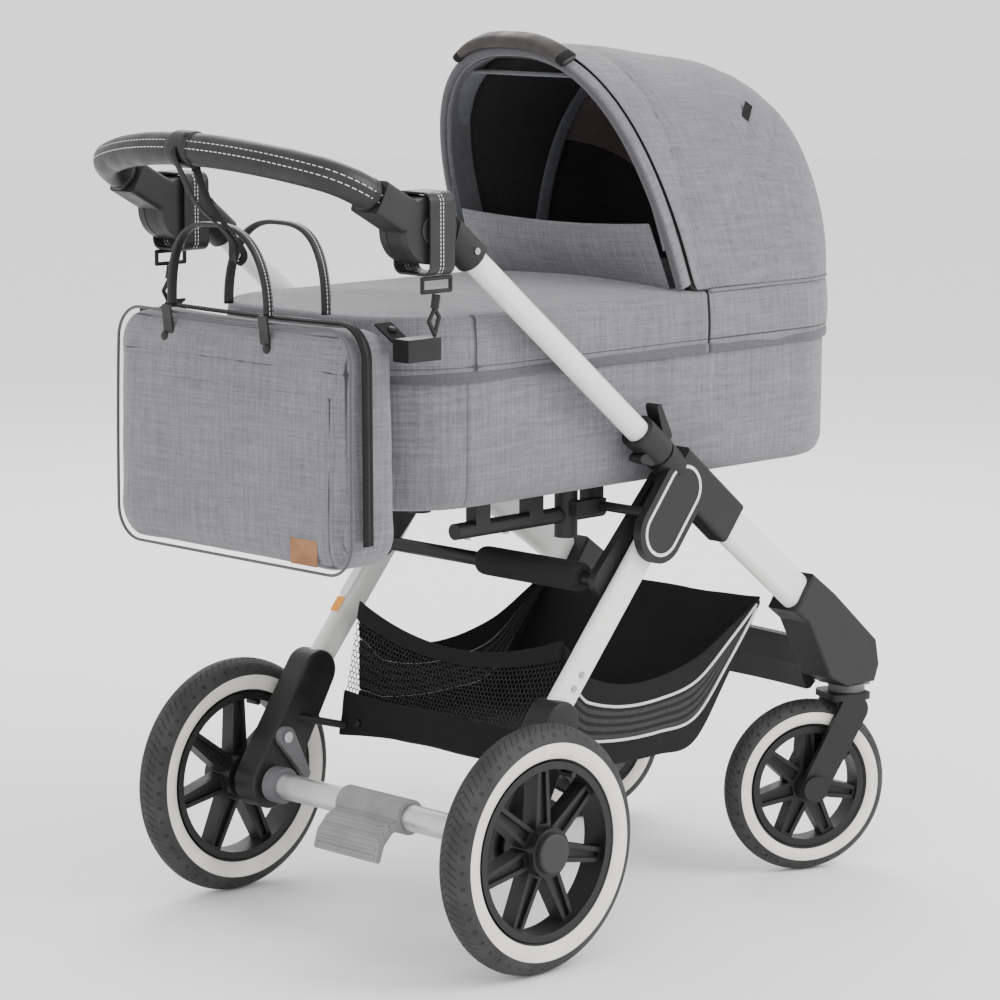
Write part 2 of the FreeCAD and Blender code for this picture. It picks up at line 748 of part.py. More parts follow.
def hub_housing(side):
    """Hub housing that holds the front leg, the push tube and the fold pin."""
    middle = (HUB_OUT + SPINE_IN) / 2
    wide = HUB_OUT - SPINE_IN
    low = on_line(HUB_LOW, side)
    high = on_line(HUB_HIGH, side)
    low.y = side * middle
    high.y = side * middle
    spine = oval_block(low, high, SPINE_DEEP, wide)
    neck = rod(on_line(HUB_HIGH - NECK_LAP, side), on_line(NECK_HIGH, side), NECK_R)
    top, bottom = plate_ends()
    plate = hull_plate(top, PLATE_R, bottom, PLATE_R - TAPER, side * (HUB_OUT - PLATE_T), side * HUB_OUT)
    body = fused(spine, neck, plate)
    start, end = leg_ends(side)
    leg_room = oval_bar(start, end, LEG_DEEP + 2 * PRESS, LEG_WIDE + 2 * PRESS)
    tube_room = rod(on_line(TUBE_LOW, side), on_line(NECK_HIGH + CUT, side), TUBE_R + PRESS)
    pin_room = rod_y(FOLD_X, FOLD_Z, side * (SPINE_IN - CUT), side * (SPINE_IN + FOLD_PIN_IN + CUT),
                     FOLD_PIN_R + PRESS)
    ring_room = hull_plate(top, RING_R + PRESS, bottom, RING_R - TAPER + PRESS,
                           side * (HUB_OUT - RING_T + RING_PROUD), side * (HUB_OUT + CUT))
    rod_room = rod_y(ROD_X, ROD_Z, side * (HUB_OUT - PLATE_T - CUT),
                     side * (HUB_OUT - PLATE_T + ROD_IN_PLATE + CUT), ROD_R + PRESS)
    link_room = rod_y(FOLD_X, FOLD_Z, 0, side * (LINK_OUT + SLIP), LINK_R + SLIP)
    for room in (leg_room, tube_room, pin_room, ring_room, rod_room, link_room):
        body = body.cut(room)
    return body


def oval_block(start, end, deep, wide):
    """Block from start to end with rounded long edges, deep upright and wide along Y."""
    axis = end - start
    block = Part.makeBox(deep, wide, axis.Length, V(-deep / 2, -wide / 2, 0))
    long_edges = [e for e in block.Edges if abs(e.tangentAt(e.FirstParameter).z) > 0.99]
    block = block.makeFillet(SPINE_CORNER, long_edges)
    z_dir = V(axis).normalize()
    turn = FreeCAD.Rotation(V(0, 1, 0).cross(z_dir), V(0, 1, 0), z_dir, "ZXY")
    block.Placement = FreeCAD.Placement(start, turn)
    return block


def hub_ring(side):
    """Bright ring let into the hub face."""
    top, bottom = plate_ends()
    floor = HUB_OUT - RING_T + RING_PROUD
    face = floor + RING_T
    outer = hull_plate(top, RING_R, bottom, RING_R - TAPER, side * floor, side * face)
    hole = hull_plate(top, RING_R - RING_W, bottom, RING_R - RING_W - TAPER, side * floor, side * face)
    return outer.cut(hole)


def hub_badge(side):
    """Plain dark badge inside the bright ring."""
    top, bottom = plate_ends()
    inner = RING_R - RING_W - PRESS
    floor = HUB_OUT - RING_T + RING_PROUD
    return hull_plate(top, inner, bottom, inner - TAPER, side * floor, side * (floor + BADGE_T))


def front_knee(side):
    """Knee housing from the front leg's lower end to the kingpin."""
    start, end = leg_ends(side)
    along = (start - end).normalize()
    over = V(-along.z, 0, along.x) * -(LEG_DEEP / 2 + KNEE_WALL)
    lap = end + along * KNEE_LAP
    brow = end + over + V(KNEE_BROW[0], 0, KNEE_BROW[1])
    points = [(lap.x + over.x, lap.z + over.z), (brow.x, brow.z)]
    points += [(KINGPIN_X + x, KNEE_BOTTOM + z) for x, z in KNEE_NOSE]
    points += [(end.x - over.x, end.z - over.z), (lap.x - over.x, lap.z - over.z)]
    block = prism_y(points, side * (KINGPIN_Y - KNEE_W / 2), side * (KINGPIN_Y + KNEE_W / 2))
    rims = [e for e in block.Edges if abs(e.tangentAt(e.FirstParameter).y) < 0.5]
    block = block.makeFillet(KNEE_EDGE, rims)
    sleeve = Part.makeCylinder(SLEEVE_R, KNEE_BOTTOM + KNEE_EDGE - SLEEVE_LOW,
                               V(KINGPIN_X, side * KINGPIN_Y, SLEEVE_LOW))
    leg_room = oval_bar(start, end - along * SEAT, LEG_DEEP + 2 * PRESS, LEG_WIDE + 2 * PRESS)
    pin_room = Part.makeCylinder(KINGPIN_R + PRESS, KNEE_BOTTOM + KINGPIN_UP + SEAT - SLEEVE_LOW + CUT,
                                 V(KINGPIN_X, side * KINGPIN_Y, SLEEVE_LOW - CUT))
    return fused(block, sleeve).cut(leg_room).cut(pin_room)


def knee_fitting(side):
    """Small grey oval fitting on the inner face of a knee."""
    inner = KINGPIN_Y - KNEE_W / 2
    low, high = [V(KINGPIN_X + x, 0, KNEE_BOTTOM + z) for x, z in FITTING]
    plate = hull_plate(low, FITTING_R, high, FITTING_R - TAPER, side * (inner - SEAT / 4),
                       side * (inner - FITTING_T))
    for centre in (low, high):
        plate = plate.cut(rod_y(centre.x, centre.z, side * (inner - FITTING_T / 2),
                                side * (inner - FITTING_T - CUT), FITTING_HOLE_R))
    return plate


def bow_section(points):
    """Sweep (offset, height over the knees' underside) points round the plan arc between the knees."""
    ring = [V(BOW_X + offset, 0, KNEE_BOTTOM + z) for offset, z in points]
    ring.append(ring[0])
    face = Part.Face(Part.makePolygon(ring))
    reach = KINGPIN_Y - KNEE_W / 2 - SEAT
    half = degrees(acos(sqrt(1 - (reach / BOW_PLAN_R) ** 2)))
    centre = V(BOW_X - BOW_PLAN_R, 0, 0)
    face.rotate(centre, V(0, 0, 1), -half - 1)
    body = face.revolve(centre, V(0, 0, 1), 2 * half + 2)
    return body.common(box(0, 900, -reach, reach, 0, 900))


def front_cross_bow():
    """Curved cross member between the knees, sloping down to the front."""
    return bow_section(BOW_SECTION)


def front_bow_tread():
    """Grey tread strip on the sloping face of the cross bow."""
    return bow_section(TREAD_SECTION)


def cot_rail(side):
    """Rail under the cot with its saddles."""
    y = side * RAIL_Y
    body = rod(V(RAIL_FROM, y, RAIL_Z), V(RAIL_TO, y, RAIL_Z), RAIL_R)
    for x in SADDLES:
        saddle = box(x - SADDLE_L / 2, x + SADDLE_L / 2, y - SADDLE_HALF, y + SADDLE_HALF,
                     RAIL_Z, COT_BOTTOM - SLIP)
        body = body.fuse(saddle)
    return body.removeSplitter()


def cot_adaptor(side):
    """Adaptor post clamped on the rail, with the rod that runs into the hub."""
    y = side * RAIL_Y
    post = Part.makeCylinder(POST_R, COT_BOTTOM - SLIP - POST_BOTTOM, V(POST_X, y, POST_BOTTOM))
    outer = y + side * ARM_OUTER
    arm = box(POST_X, ROD_X + ARM_AHEAD, y + side * ARM_INNER, outer, ROD_Z - ARM_HALF, ROD_Z + ARM_HALF)
    neck = box(POST_X - ARM_AHEAD, POST_X + ARM_AHEAD, y, outer, ROD_Z - ARM_HALF, ROD_Z + ARM_HALF)
    stub = rod_y(ROD_X, ROD_Z, y + side * ARM_INNER, side * (HUB_OUT - PLATE_T + ROD_IN_PLATE), ROD_R)
    body = fused(post, arm, neck, stub)
    return body.cut(rod(V(RAIL_FROM, y, RAIL_Z), V(RAIL_TO + CUT, y, RAIL_Z), RAIL_R + PRESS))


def frame_screws():
    """Fold pins, rail bolts and knuckle screws that stay with the frame."""
    solids = []
    for side in LEFT_RIGHT:
        pin = rod_y(FOLD_X, FOLD_Z, side * (LINK_IN + SLIP), side * (SPINE_IN + FOLD_PIN_IN),
                    FOLD_PIN_R)
        head = rod_y(FOLD_X, FOLD_Z, side * (LINK_IN + SLIP), side * (LINK_IN + FOLD_HEAD_T),
                     FOLD_HEAD_R)
        solids.append(fused(pin, head))
        for x in RAIL_BOLTS:
            bolt = Part.makeCylinder(SCREW_R, SCREW_T, V(x, side * RAIL_Y, RAIL_Z - RAIL_R - SCREW_T))
            seat = Part.makeCylinder(SCREW_R, BOLT_SEAT, V(x, side * RAIL_Y, RAIL_Z - RAIL_R - SCREW_T))
            seat = seat.cut(rod(V(RAIL_FROM, side * RAIL_Y, RAIL_Z), V(RAIL_TO, side * RAIL_Y, RAIL_Z),
                                RAIL_R + PRESS))
            solids.append(bolt.fuse(seat).removeSplitter())
        spot = on_line(SOCKET_SCREW, side)
        out = side * (FRAME_Y + SOCKET_R)
        solids.append(rod_y(spot.x, spot.z, out - side * SCREW_SUNK, out + side * SCREW_T,
                            SCREW_R))
    return Part.makeCompound(solids)


def knuckle_base(side):
    """Fixed half of a handle knuckle: the middle disc and the socket of the push tube."""
    low = side * (KNUCKLE_Y - BASE_W / 2)
    high = side * (KNUCKLE_Y + BASE_W / 2)
    disc = rod_y(KNUCKLE_X, KNUCKLE_Z, low, high, KNUCKLE_R - BASE_UNDER)
    start = on_line(SOCKET_FROM, side)
    end = on_line(SOCKET_TO, side)
    socket = rod(start, end, SOCKET_R)
    bridge = hull_plate(V(KNUCKLE_X, 0, KNUCKLE_Z), KNUCKLE_R - BRIDGE_ROOT, V(end.x, 0, end.z),
                        BRIDGE_TIP_R, low, high)
    body = fused(disc, bridge, socket)
    sweep = rod_y(KNUCKLE_X, KNUCKLE_Z, side * (KNUCKLE_Y - KNUCKLE_W), low, KNUCKLE_R + CUT)
    body = body.cut(sweep)
    sweep = rod_y(KNUCKLE_X, KNUCKLE_Z, high, side * (KNUCKLE_Y + KNUCKLE_W), KNUCKLE_R + CUT)
    body = body.cut(sweep)
    body = body.cut(rod(start - UP_LINE * CUT, on_line(TUBE_HIGH, side), TUBE_R + PRESS))
    body = body.cut(rod_y(KNUCKLE_X, KNUCKLE_Z, 0, 2 * side * KNUCKLE_Y, KNUCKLE_AXLE_R + PRESS))
    spot = on_line(SOCKET_SCREW, side)
    out = side * (FRAME_Y + SOCKET_R)
    return body.cut(rod_y(spot.x, spot.z, out - side * SCREW_SUNK, out + side * KNUCKLE_R, SCREW_R + PRESS))


def handle_knuckle(side):
    """Turning half of a handle knuckle: two cheeks, their axle and the arm socket."""
    base_low = KNUCKLE_Y - BASE_W / 2 - SLIP
    base_high = KNUCKLE_Y + BASE_W / 2 + SLIP
    low = KNUCKLE_Y - KNUCKLE_W / 2
    high = KNUCKLE_Y + KNUCKLE_W / 2
    body = rod_y(KNUCKLE_X, KNUCKLE_Z, side * low, side * base_low, KNUCKLE_R)
    body = body.fuse(rod_y(KNUCKLE_X, KNUCKLE_Z, side * base_high, side * high, KNUCKLE_R))
    body = body.fuse(rod_y(KNUCKLE_X, KNUCKLE_Z, side * low, side * (high - BUTTON_T), KNUCKLE_AXLE_R))
    centre = V(KNUCKLE_X, side * KNUCKLE_Y, KNUCKLE_Z)
    arm = oval_block(centre + ARM_DIR * ARM_ROOT, centre + ARM_DIR * BAR_START, ARM_DEEP, KNUCKLE_W)
    room = rod_y(KNUCKLE_X, KNUCKLE_Z, side * base_low, side * base_high, KNUCKLE_R + ARM_ROOM)
    room = room.cut(rod_y(KNUCKLE_X, KNUCKLE_Z, side * base_low, side * base_high, KNUCKLE_AXLE_R))
    body = body.fuse(arm.cut(room)).removeSplitter()
    recess = rod_y(KNUCKLE_X, KNUCKLE_Z, side * (high + BUTTON_PROUD - BUTTON_T - BUTTON_TRAVEL - SLIP),
                   side * (high + CUT),
                   BUTTON_R + SLIP)
    return body.cut(recess)


def handle_button(side):
    """Round push button in the outer cheek of a knuckle."""
    face = KNUCKLE_Y + KNUCKLE_W / 2 + BUTTON_PROUD
    button = rod_y(KNUCKLE_X, KNUCKLE_Z, side * (face - BUTTON_T), side * face, BUTTON_R)
    outer = [e for e in button.Edges if abs(e.BoundBox.YMin - side * face) < 0.01
             and abs(e.BoundBox.YMax - side * face) < 0.01]
    return button.makeFillet(BUTTON_EDGE, outer)


def bar_point(y, s):
    """Point of the handlebar plane at a y and a distance s from the knuckle axis."""
    return V(KNUCKLE_X, y, KNUCKLE_Z) + ARM_DIR * s


def bar_crown_radius():
    """Radius of the wide middle arc that meets both corner arcs smoothly."""
    reach = BAR_Y - BAR_CORNER_R
    return (reach ** 2 + BAR_BOW ** 2 - BAR_CORNER_R ** 2) / (2 * (BAR_BOW - BAR_CORNER_R))


def handlebar():
    """Leather-covered U-shaped handlebar, on straight ends and three arcs."""
    crown = bar_crown_radius()
    reach = BAR_Y - BAR_CORNER_R
    scale = 1 / (crown - BAR_CORNER_R)
    out = reach * scale
    back = (crown - BAR_BOW) * scale
    join_y = reach + BAR_CORNER_R * out
    join_s = BAR_BEND + BAR_CORNER_R * back
    mid_y = reach + BAR_CORNER_R * sqrt((1 + out) / 2)
    mid_s = BAR_BEND + BAR_CORNER_R * sqrt((1 - out) / 2)
    path = []
    gap = BAR_START + SEAT / 2
    path.append(Part.LineSegment(bar_point(BAR_Y, gap), bar_point(BAR_Y, BAR_BEND)).toShape())
    path.append(Part.Arc(bar_point(BAR_Y, BAR_BEND), bar_point(mid_y, mid_s),
                         bar_point(join_y, join_s)).toShape())
    path.append(Part.Arc(bar_point(join_y, join_s), bar_point(0, BAR_BEND + BAR_BOW),
                         bar_point(-join_y, join_s)).toShape())
    path.append(Part.Arc(bar_point(-join_y, join_s), bar_point(-mid_y, mid_s),
                         bar_point(-BAR_Y, BAR_BEND)).toShape())
    path.append(Part.LineSegment(bar_point(-BAR_Y, BAR_BEND), bar_point(-BAR_Y, gap)).toShape())
    profile = Part.Wire([Part.Circle(bar_point(BAR_Y, gap), ARM_DIR, BAR_R).toShape()])
    return Part.Wire(path).makePipeShell([profile], True, False)


def wrist_strap():
    """Band round the middle of the handlebar, with a hanging loop of webbing."""
    centre = bar_point(0, BAR_BEND + BAR_BOW)
    half = BAND_W / 2
    band = rod_y(centre.x, centre.z, -half, half, BAR_R + BAND_T + SEAT)
    band = band.cut(rod_y(centre.x, centre.z, -half, half, BAR_R + 3 * SEAT))
    points = [centre + V(*drop) for drop in WEB_DROPS]
    web = None
    for first, second in zip(points, points[1:]):
        run = oval_bar(first, second, WEB_W, 2 * WEB_T)
        web = run if web is None else web.fuse(run)
    return band.fuse(web.cut(rod_y(centre.x, centre.z, -half * 2, half * 2, BAR_R + 3 * SEAT)))


def fold_collar(side):
    """Sliding collar of the fold lock on a push tube, with a pull tab."""
    start = on_line(COLLAR_FROM, side)
    end = on_line(COLLAR_FROM + COLLAR_L, side)
    sleeve = rod(start, end, COLLAR_R)
    inner = side * (FRAME_Y - TAB_IN)
    outer = side * (FRAME_Y + TAB_OUT)
    low = on_line(COLLAR_FROM + COLLAR_L * 0.17, side, -COLLAR_R * 0.9)
    high = on_line(COLLAR_FROM + COLLAR_L * 0.91, side, -COLLAR_R - TAB_L)
    tab = hull_plate(low, TAB_T, high, TAB_T * 0.6, inner, outer)
    low = on_line(COLLAR_FROM + COLLAR_L * 0.3, side, COLLAR_R * 0.8)
    high = on_line(COLLAR_FROM + COLLAR_L * 0.56, side, COLLAR_R + TAB_L * 0.3)
    rear_tab = hull_plate(low, TAB_T * 1.3, high, TAB_T * 0.7, inner, outer)
    body = fused(sleeve, tab, rear_tab)
    return body.cut(rod(start - UP_LINE * COLLAR_L, end + UP_LINE * COLLAR_L, TUBE_R + SLIP))


# --- Rear frame -----------------------------------------------------------------------------

def rear_leg(side):
    """Flat-oval rear leg from below the fold pin into the rear housing."""
    y = side * REAR_LEG_Y
    return oval_bar(on_rear_leg(-REAR_LEG_UP, y), on_rear_leg(REAR_LEG_DOWN, y),
                    REAR_LEG_DEEP, REAR_LEG_WIDE)


def link_arm(side):
    """Link from the fold pin to the cross bar, flat against the rear leg."""
    pivot = V(FOLD_X, 0, FOLD_Z)
    end = V(CROSS_X, 0, CROSS_Z)
    plate = hull_plate(pivot, LINK_R, end, CROSS_END_R, side * LINK_IN, side * LINK_OUT)
    pin_room = rod_y(FOLD_X, FOLD_Z, side * (LINK_IN - CUT), side * (LINK_OUT + CUT), FOLD_PIN_R + PRESS)
    head_room = rod_y(FOLD_X, FOLD_Z, side * (LINK_IN - CUT), side * (LINK_IN + FOLD_HEAD_T + SEAT),
                      FOLD_HEAD_R + SLIP)
    return plate.cut(pin_room).cut(head_room)


def cross_bar():
    """Round bar between the two link arms."""
    reach = LINK_IN - SEAT / 4
    return rod_y(CROSS_X, CROSS_Z, -reach, reach, CROSS_R)


def cross_bar_foam():
    """Foam sleeve on the cross bar."""
    sleeve = rod_y(CROSS_X, CROSS_Z, FOAM_FROM, FOAM_TO, FOAM_R)
    return sleeve.cut(rod_y(CROSS_X, CROSS_Z, FOAM_FROM - CUT, FOAM_TO + CUT, CROSS_R + PRESS))


def stay_ends(side):
    """Ends of a basket stay's axis: inside the rear housing, and behind the basket."""
    start = REAR_HUB + V(STAY_BACK, side * (HOUSING_IN + STAY_IN_HOUSING), STAY_UP)
    end = V(STAY_END_X, side * (BASKET_HALF - STAY_END_IN), STAY_END_Z)
    return start, end


def rear_housing(side):
    """Housing from the rear leg's lower end down to the axle."""
    top = on_rear_leg(HOUSING_TOP, 0)
    body = hull_plate(top, HOUSING_TOP_R, REAR_HUB, HOUSING_AXLE_R, side * HOUSING_IN, side * HOUSING_OUT)
    rims = [e for e in body.Edges if abs(e.BoundBox.YMax - e.BoundBox.YMin) < 0.01]
    body = body.makeFillet(HOUSING_EDGE, rims)
    boss = rod_y(REAR_X, REAR_R, side * (HOUSING_OUT - HOUSING_EDGE), side * AXLE_BOSS_OUT, AXLE_BOSS_R)
    body = body.fuse(boss).removeSplitter()
    y = side * REAR_LEG_Y
    leg_room = oval_bar(on_rear_leg(0, y), on_rear_leg(REAR_LEG_DOWN + SEAT, y),
                        REAR_LEG_DEEP + 2 * PRESS, REAR_LEG_WIDE + 2 * PRESS)
    axle_room = rod_y(REAR_X, REAR_R, 0, side * REAR_Y, REAR_AXLE_R + PRESS)
    pin_room = rod_y(LEVER_X, LEVER_Z, side * (HOUSING_IN - CUT), side * (HOUSING_IN + LEVER_PIN_R + CUT),
                     LEVER_PIN_R + PRESS)
    start, end = stay_ends(side)
    stay_room = rod(start, end, STAY_R + PRESS)
    for room in (leg_room, axle_room, pin_room, stay_room):
        body = body.cut(room)
    return body


def rear_axle():
    """Axle tube between the housings, with the rod that carries both wheels."""
    inner = HOUSING_IN - SEAT
    tube = rod_y(REAR_X, REAR_R, -inner, inner, AXLE_TUBE_R)
    outer = REAR_Y + REAR_HUB_W / 2 - SEAT
    return fused(tube, rod_y(REAR_X, REAR_R, -outer, outer, REAR_AXLE_R))


def axle_clamp(side):
    """Clamp ring at one end of the axle tube; the right one has a hook."""
    inner = HOUSING_IN - SEAT - AXLE_CLAMP_IN
    ring = rod_y(REAR_X, REAR_R, side * (inner - AXLE_CLAMP_W), side * inner, AXLE_CLAMP_R)
    if side < 0:
        hook = hull_plate(REAR_HUB - V(HOOK_ROOT, 0, 0), HOOK_ROOT_R, REAR_HUB - V(HOOK_L, 0, HOOK_FALL),
                          HOOK_TIP_R, side * (inner - AXLE_CLAMP_W), side * (inner - AXLE_CLAMP_W + HOOK_T))
        ring = fused(ring, hook)
    return ring.cut(rod_y(REAR_X, REAR_R, -HOUSING_IN, HOUSING_IN, AXLE_TUBE_R + PRESS))


def basket_stay(side):
    """Rod from a rear housing to the rear face of the basket."""
    start, end = stay_ends(side)
    return rod(start, end, STAY_R)


def rear_screws():
    """Lever pins and the screws of the rear housings."""
    solids = []
    for side in LEFT_RIGHT:
        inner = side * (HOUSING_IN - SLIP - LEVER_T - SLIP)
        pin = rod_y(LEVER_X, LEVER_Z, inner, side * (HOUSING_IN + LEVER_PIN_R), LEVER_PIN_R)
        head = rod_y(LEVER_X, LEVER_Z, inner, inner - side * SCREW_T, LEVER_PIN_R + LEVER_HEAD)
        solids.append(fused(pin, head))
        for t in HOUSING_SCREWS:
            spot = on_rear_leg(t, 0)
            face = side * (LINK_OUT + SEAT + REAR_LEG_WIDE)
            solids.append(rod_y(spot.x, spot.z, face + side * SEAT / 2, face + side * SCREW_T, SCREW_R))
    return Part.makeCompound(solids)


def release_lever(side):
    """Grey wheel-release lever on the inner face of a rear housing."""
    root = V(LEVER_X, 0, LEVER_Z)
    tip = V(LEVER_X + LEVER_REACH, 0, LEVER_Z - LEVER_RISE)
    face = side * (HOUSING_IN - SLIP)
    back = side * (HOUSING_IN - SLIP - LEVER_T)
    plate = hull_plate(root, LEVER_ROOT_R, tip, LEVER_TIP_R, face, back)
    return plate.cut(rod_y(LEVER_X, LEVER_Z, face + side, back - side, LEVER_PIN_R + PRESS))


def brake_pedal():
    """Brake pedal: a sleeve on the axle tube with a curved, ridged plate behind it."""
    half = PEDAL_W / 2
    body = rod_y(REAR_X, REAR_R, -half, half, PEDAL_RING_R)
    for start, end in zip(PEDAL_CURVE, PEDAL_CURVE[1:]):
        a = REAR_HUB + V(start[0], 0, start[1])
        b = REAR_HUB + V(end[0], 0, end[1])
        body = body.fuse(hull_plate(a, PEDAL_T + RING_PROUD, b, PEDAL_T, -half, half))
        out = V(b.z - a.z, 0, a.x - b.x).normalize()
        for share in RIDGE_SHARES:
            spot = a + (b - a) * share + out * (PEDAL_T + SEAT)
            body = body.fuse(rod_y(spot.x, spot.z, -half + RIDGE_SHORT, half - RIDGE_SHORT, RIDGE_R))
    body = body.removeSplitter()
    return body.cut(rod_y(REAR_X, REAR_R, -half - CUT, half + CUT, AXLE_TUBE_R + SLIP))


# --- Cot ------------------------------------------------------------------------------------

def cot_tub():
    """Cot tub with a flat floor, padded walls and an open top."""
    outer = rounded_plan(COT_REAR, COT_FRONT, COT_HALF, COT_CORNER, COT_BOTTOM, COT_TOP)
    outer = outer.makeFillet(COT_EDGE, edges_at(outer, COT_BOTTOM))
    room = rounded_plan(COT_REAR + COT_WALL, COT_FRONT - COT_WALL, COT_HALF - COT_WALL,
                        COT_CORNER - COT_WALL, COT_BOTTOM + COT_FLOOR, COT_TOP + CUT)
    return outer.cut(room)


def cot_mattress():
    """Mattress on the cot floor."""
    inset = COT_WALL + MATTRESS_PLAY
    low = COT_BOTTOM + COT_FLOOR + SEAT / 2
    pad = rounded_plan(COT_REAR + inset, COT_FRONT - inset, COT_HALF - inset, COT_CORNER - inset,
                       low, low + MATTRESS_T)
    return pad.makeFillet(MATTRESS_EDGE, edges_at(pad, low + MATTRESS_T))


def skirt_shell(z_top):
    """Ring that hangs round the outside of the cot's top edge."""
    gap = SKIRT_GAP
    thick = SKIRT_GAP + SKIRT_T
    outer = rounded_plan(COT_REAR - thick, COT_FRONT + thick, COT_HALF + thick, COT_CORNER + thick,
                         SKIRT_BOTTOM, z_top)
    inner = rounded_plan(COT_REAR - gap, COT_FRONT + gap, COT_HALF + gap, COT_CORNER + gap,
                         SKIRT_BOTTOM - CUT, z_top + CUT)
    return outer.cut(inner)


def cot_apron():
    """Apron over the foot half of the cot, with a skirt round its edge."""
    thick = SKIRT_GAP + SKIRT_T
    top_z = COT_TOP + SEAT + APRON_T
    outer = rounded_plan(COT_REAR - thick, COT_FRONT + thick, COT_HALF + thick, COT_CORNER + thick,
                         SKIRT_BOTTOM, top_z)
    outer = outer.makeFillet(APRON_EDGE, edges_at(outer, top_z))
    inner = rounded_plan(COT_REAR - SKIRT_GAP, COT_FRONT + SKIRT_GAP, COT_HALF + SKIRT_GAP,
                         COT_CORNER + SKIRT_GAP, SKIRT_BOTTOM - CUT, COT_TOP + SEAT)
    shell = outer.cut(inner)
    wide = COT_HALF + thick + CUT
    shell = shell.cut(box(APRON_SIDE_X, 2 * COT_FRONT, -wide, wide, COT_BOTTOM, top_z + CUT))
    reach = COT_HALF + SKIRT_GAP
    return shell.cut(box(APRON_TOP_X, 2 * COT_FRONT, -reach, reach, COT_BOTTOM, top_z + CUT))


def bow_point(y, t, off=0.0):
    """Point in the bow plane, t up from its base, and an offset behind the plane."""
    return V(BOW_BASE_X, y, HOOD_Z) + BOW_DIR * t + BOW_NORMAL * off


def arch_points(half, height, count=16):
    """(y, t) points of a rounded arch from its left foot over the top to its right foot."""
    points = []
    for number in range(count + 1):
        angle = pi * number / count
        across = abs(cos(angle)) ** (2 / ARCH_POWER)
        up = sin(angle) ** (2 / ARCH_POWER) if 0 < number < count else 0.0
        sign = 1 if angle < pi / 2 else -1
        points.append((sign * half * across, height * up))
    return points


def arch_wire(points):
    """Closed wire of a smooth arch and the straight line between its feet."""
    curve = Part.BSplineCurve()
    curve.interpolate(points)
    base = Part.LineSegment(points[-1], points[0]).toShape()
    return Part.Wire([curve.toShape(), base])


def wind_flap():
    """Upright wind flap behind the hood opening, parallel to the bow."""
    off = BOW_T + FLAP_BACK
    floor = COT_TOP + APRON_T + 2 * SEAT
    height = (FLAP_TOP - HOOD_Z) / cos(radians(BOW_LEAN))
    base = (floor - HOOD_Z) / cos(radians(BOW_LEAN)) - FLAP_T
    corners = [bow_point(-FLAP_HALF, base, off), bow_point(FLAP_HALF, base, off),
               bow_point(FLAP_HALF, height, off), bow_point(-FLAP_HALF, height, off)]
    corners.append(corners[0])
    panel = Part.Face(Part.makePolygon(corners)).extrude(BOW_NORMAL * FLAP_T)
    return panel.cut(box(COT_REAR, COT_FRONT, -COT_HALF, COT_HALF, COT_BOTTOM, floor))


def hood_bow():
    """Padded bow along the hood opening, with a round lobe at each pivot."""
    outer = [bow_point(y, t) for y, t in arch_points(BOW_HALF, BOW_HEIGHT)]
    inner = [bow_point(y, t) for y, t in arch_points(BOW_HALF - BOW_BAND, BOW_HEIGHT - BOW_BAND)]
    body = Part.Face(arch_wire(outer)).extrude(BOW_NORMAL * BOW_T)
    hole = Part.Face(arch_wire(inner)).extrude(BOW_NORMAL * BOW_T)
    body = body.cut(hole)
    for side in LEFT_RIGHT:
        foot = hull_plate(V(HOOD_X, 0, HOOD_Z), HOOD_LOBE_R, bow_point(0, HOOD_LOBE_UP, BOW_T / 2),
                          BOW_T / 2, side * (BOW_HALF + BOW_IN), side * (BOW_HALF - BOW_BAND - BOW_IN))
        body = body.fuse(foot)
    return body


def hood_handle():
    """Leather carry handle lying along the top of the bow."""
    count = 10
    outer = []
    inner = []
    for number in range(count + 1):
        y = HOOD_HANDLE_HALF * (1 - 2 * number / count)
        drop = BOW_HEIGHT * (1 - (abs(y) / BOW_HALF) ** ARCH_POWER) ** (1 / ARCH_POWER)
        inner.append(bow_point(y, drop + CUT))
        swell = HOOD_HANDLE_T * (1 - HOOD_HANDLE_FALL * (abs(y) / HOOD_HANDLE_HALF) ** 4)
        outer.append(bow_point(y, drop + swell))
    low = Part.BSplineCurve()
    low.interpolate(inner)
    high = Part.BSplineCurve()
    high.interpolate(outer)
    ends = [Part.LineSegment(inner[-1], outer[-1]).toShape(), Part.LineSegment(outer[0], inner[0]).toShape()]
    wire = Part.Wire([low.toShape(), ends[0], high.toShape(), ends[1]])
    return Part.Face(wire).extrude(BOW_NORMAL * HOOD_HANDLE_W)


def canopy_section(x, half, top, inset):
    """Arch of the canopy in the upright plane at x, top above its base, drawn in by an inset."""
    base = CANOPY_BASE if inset == 0 else CANOPY_BASE - 2 * inset
    pairs = arch_points(half - inset, CANOPY_BASE + top - inset - base, 20)
    return arch_wire([V(x, y, base + t) for y, t in pairs])


def canopy_loft(inset):
    """Solid canopy volume drawn in by an inset."""
    half = COT_HALF + SKIRT_GAP + SKIRT_T
    wires = [canopy_section(COT_FRONT + x - inset, half * share, top, inset)
             for x, share, top in CANOPY_STATIONS]
    return Part.makeLoft(wires, True, True)


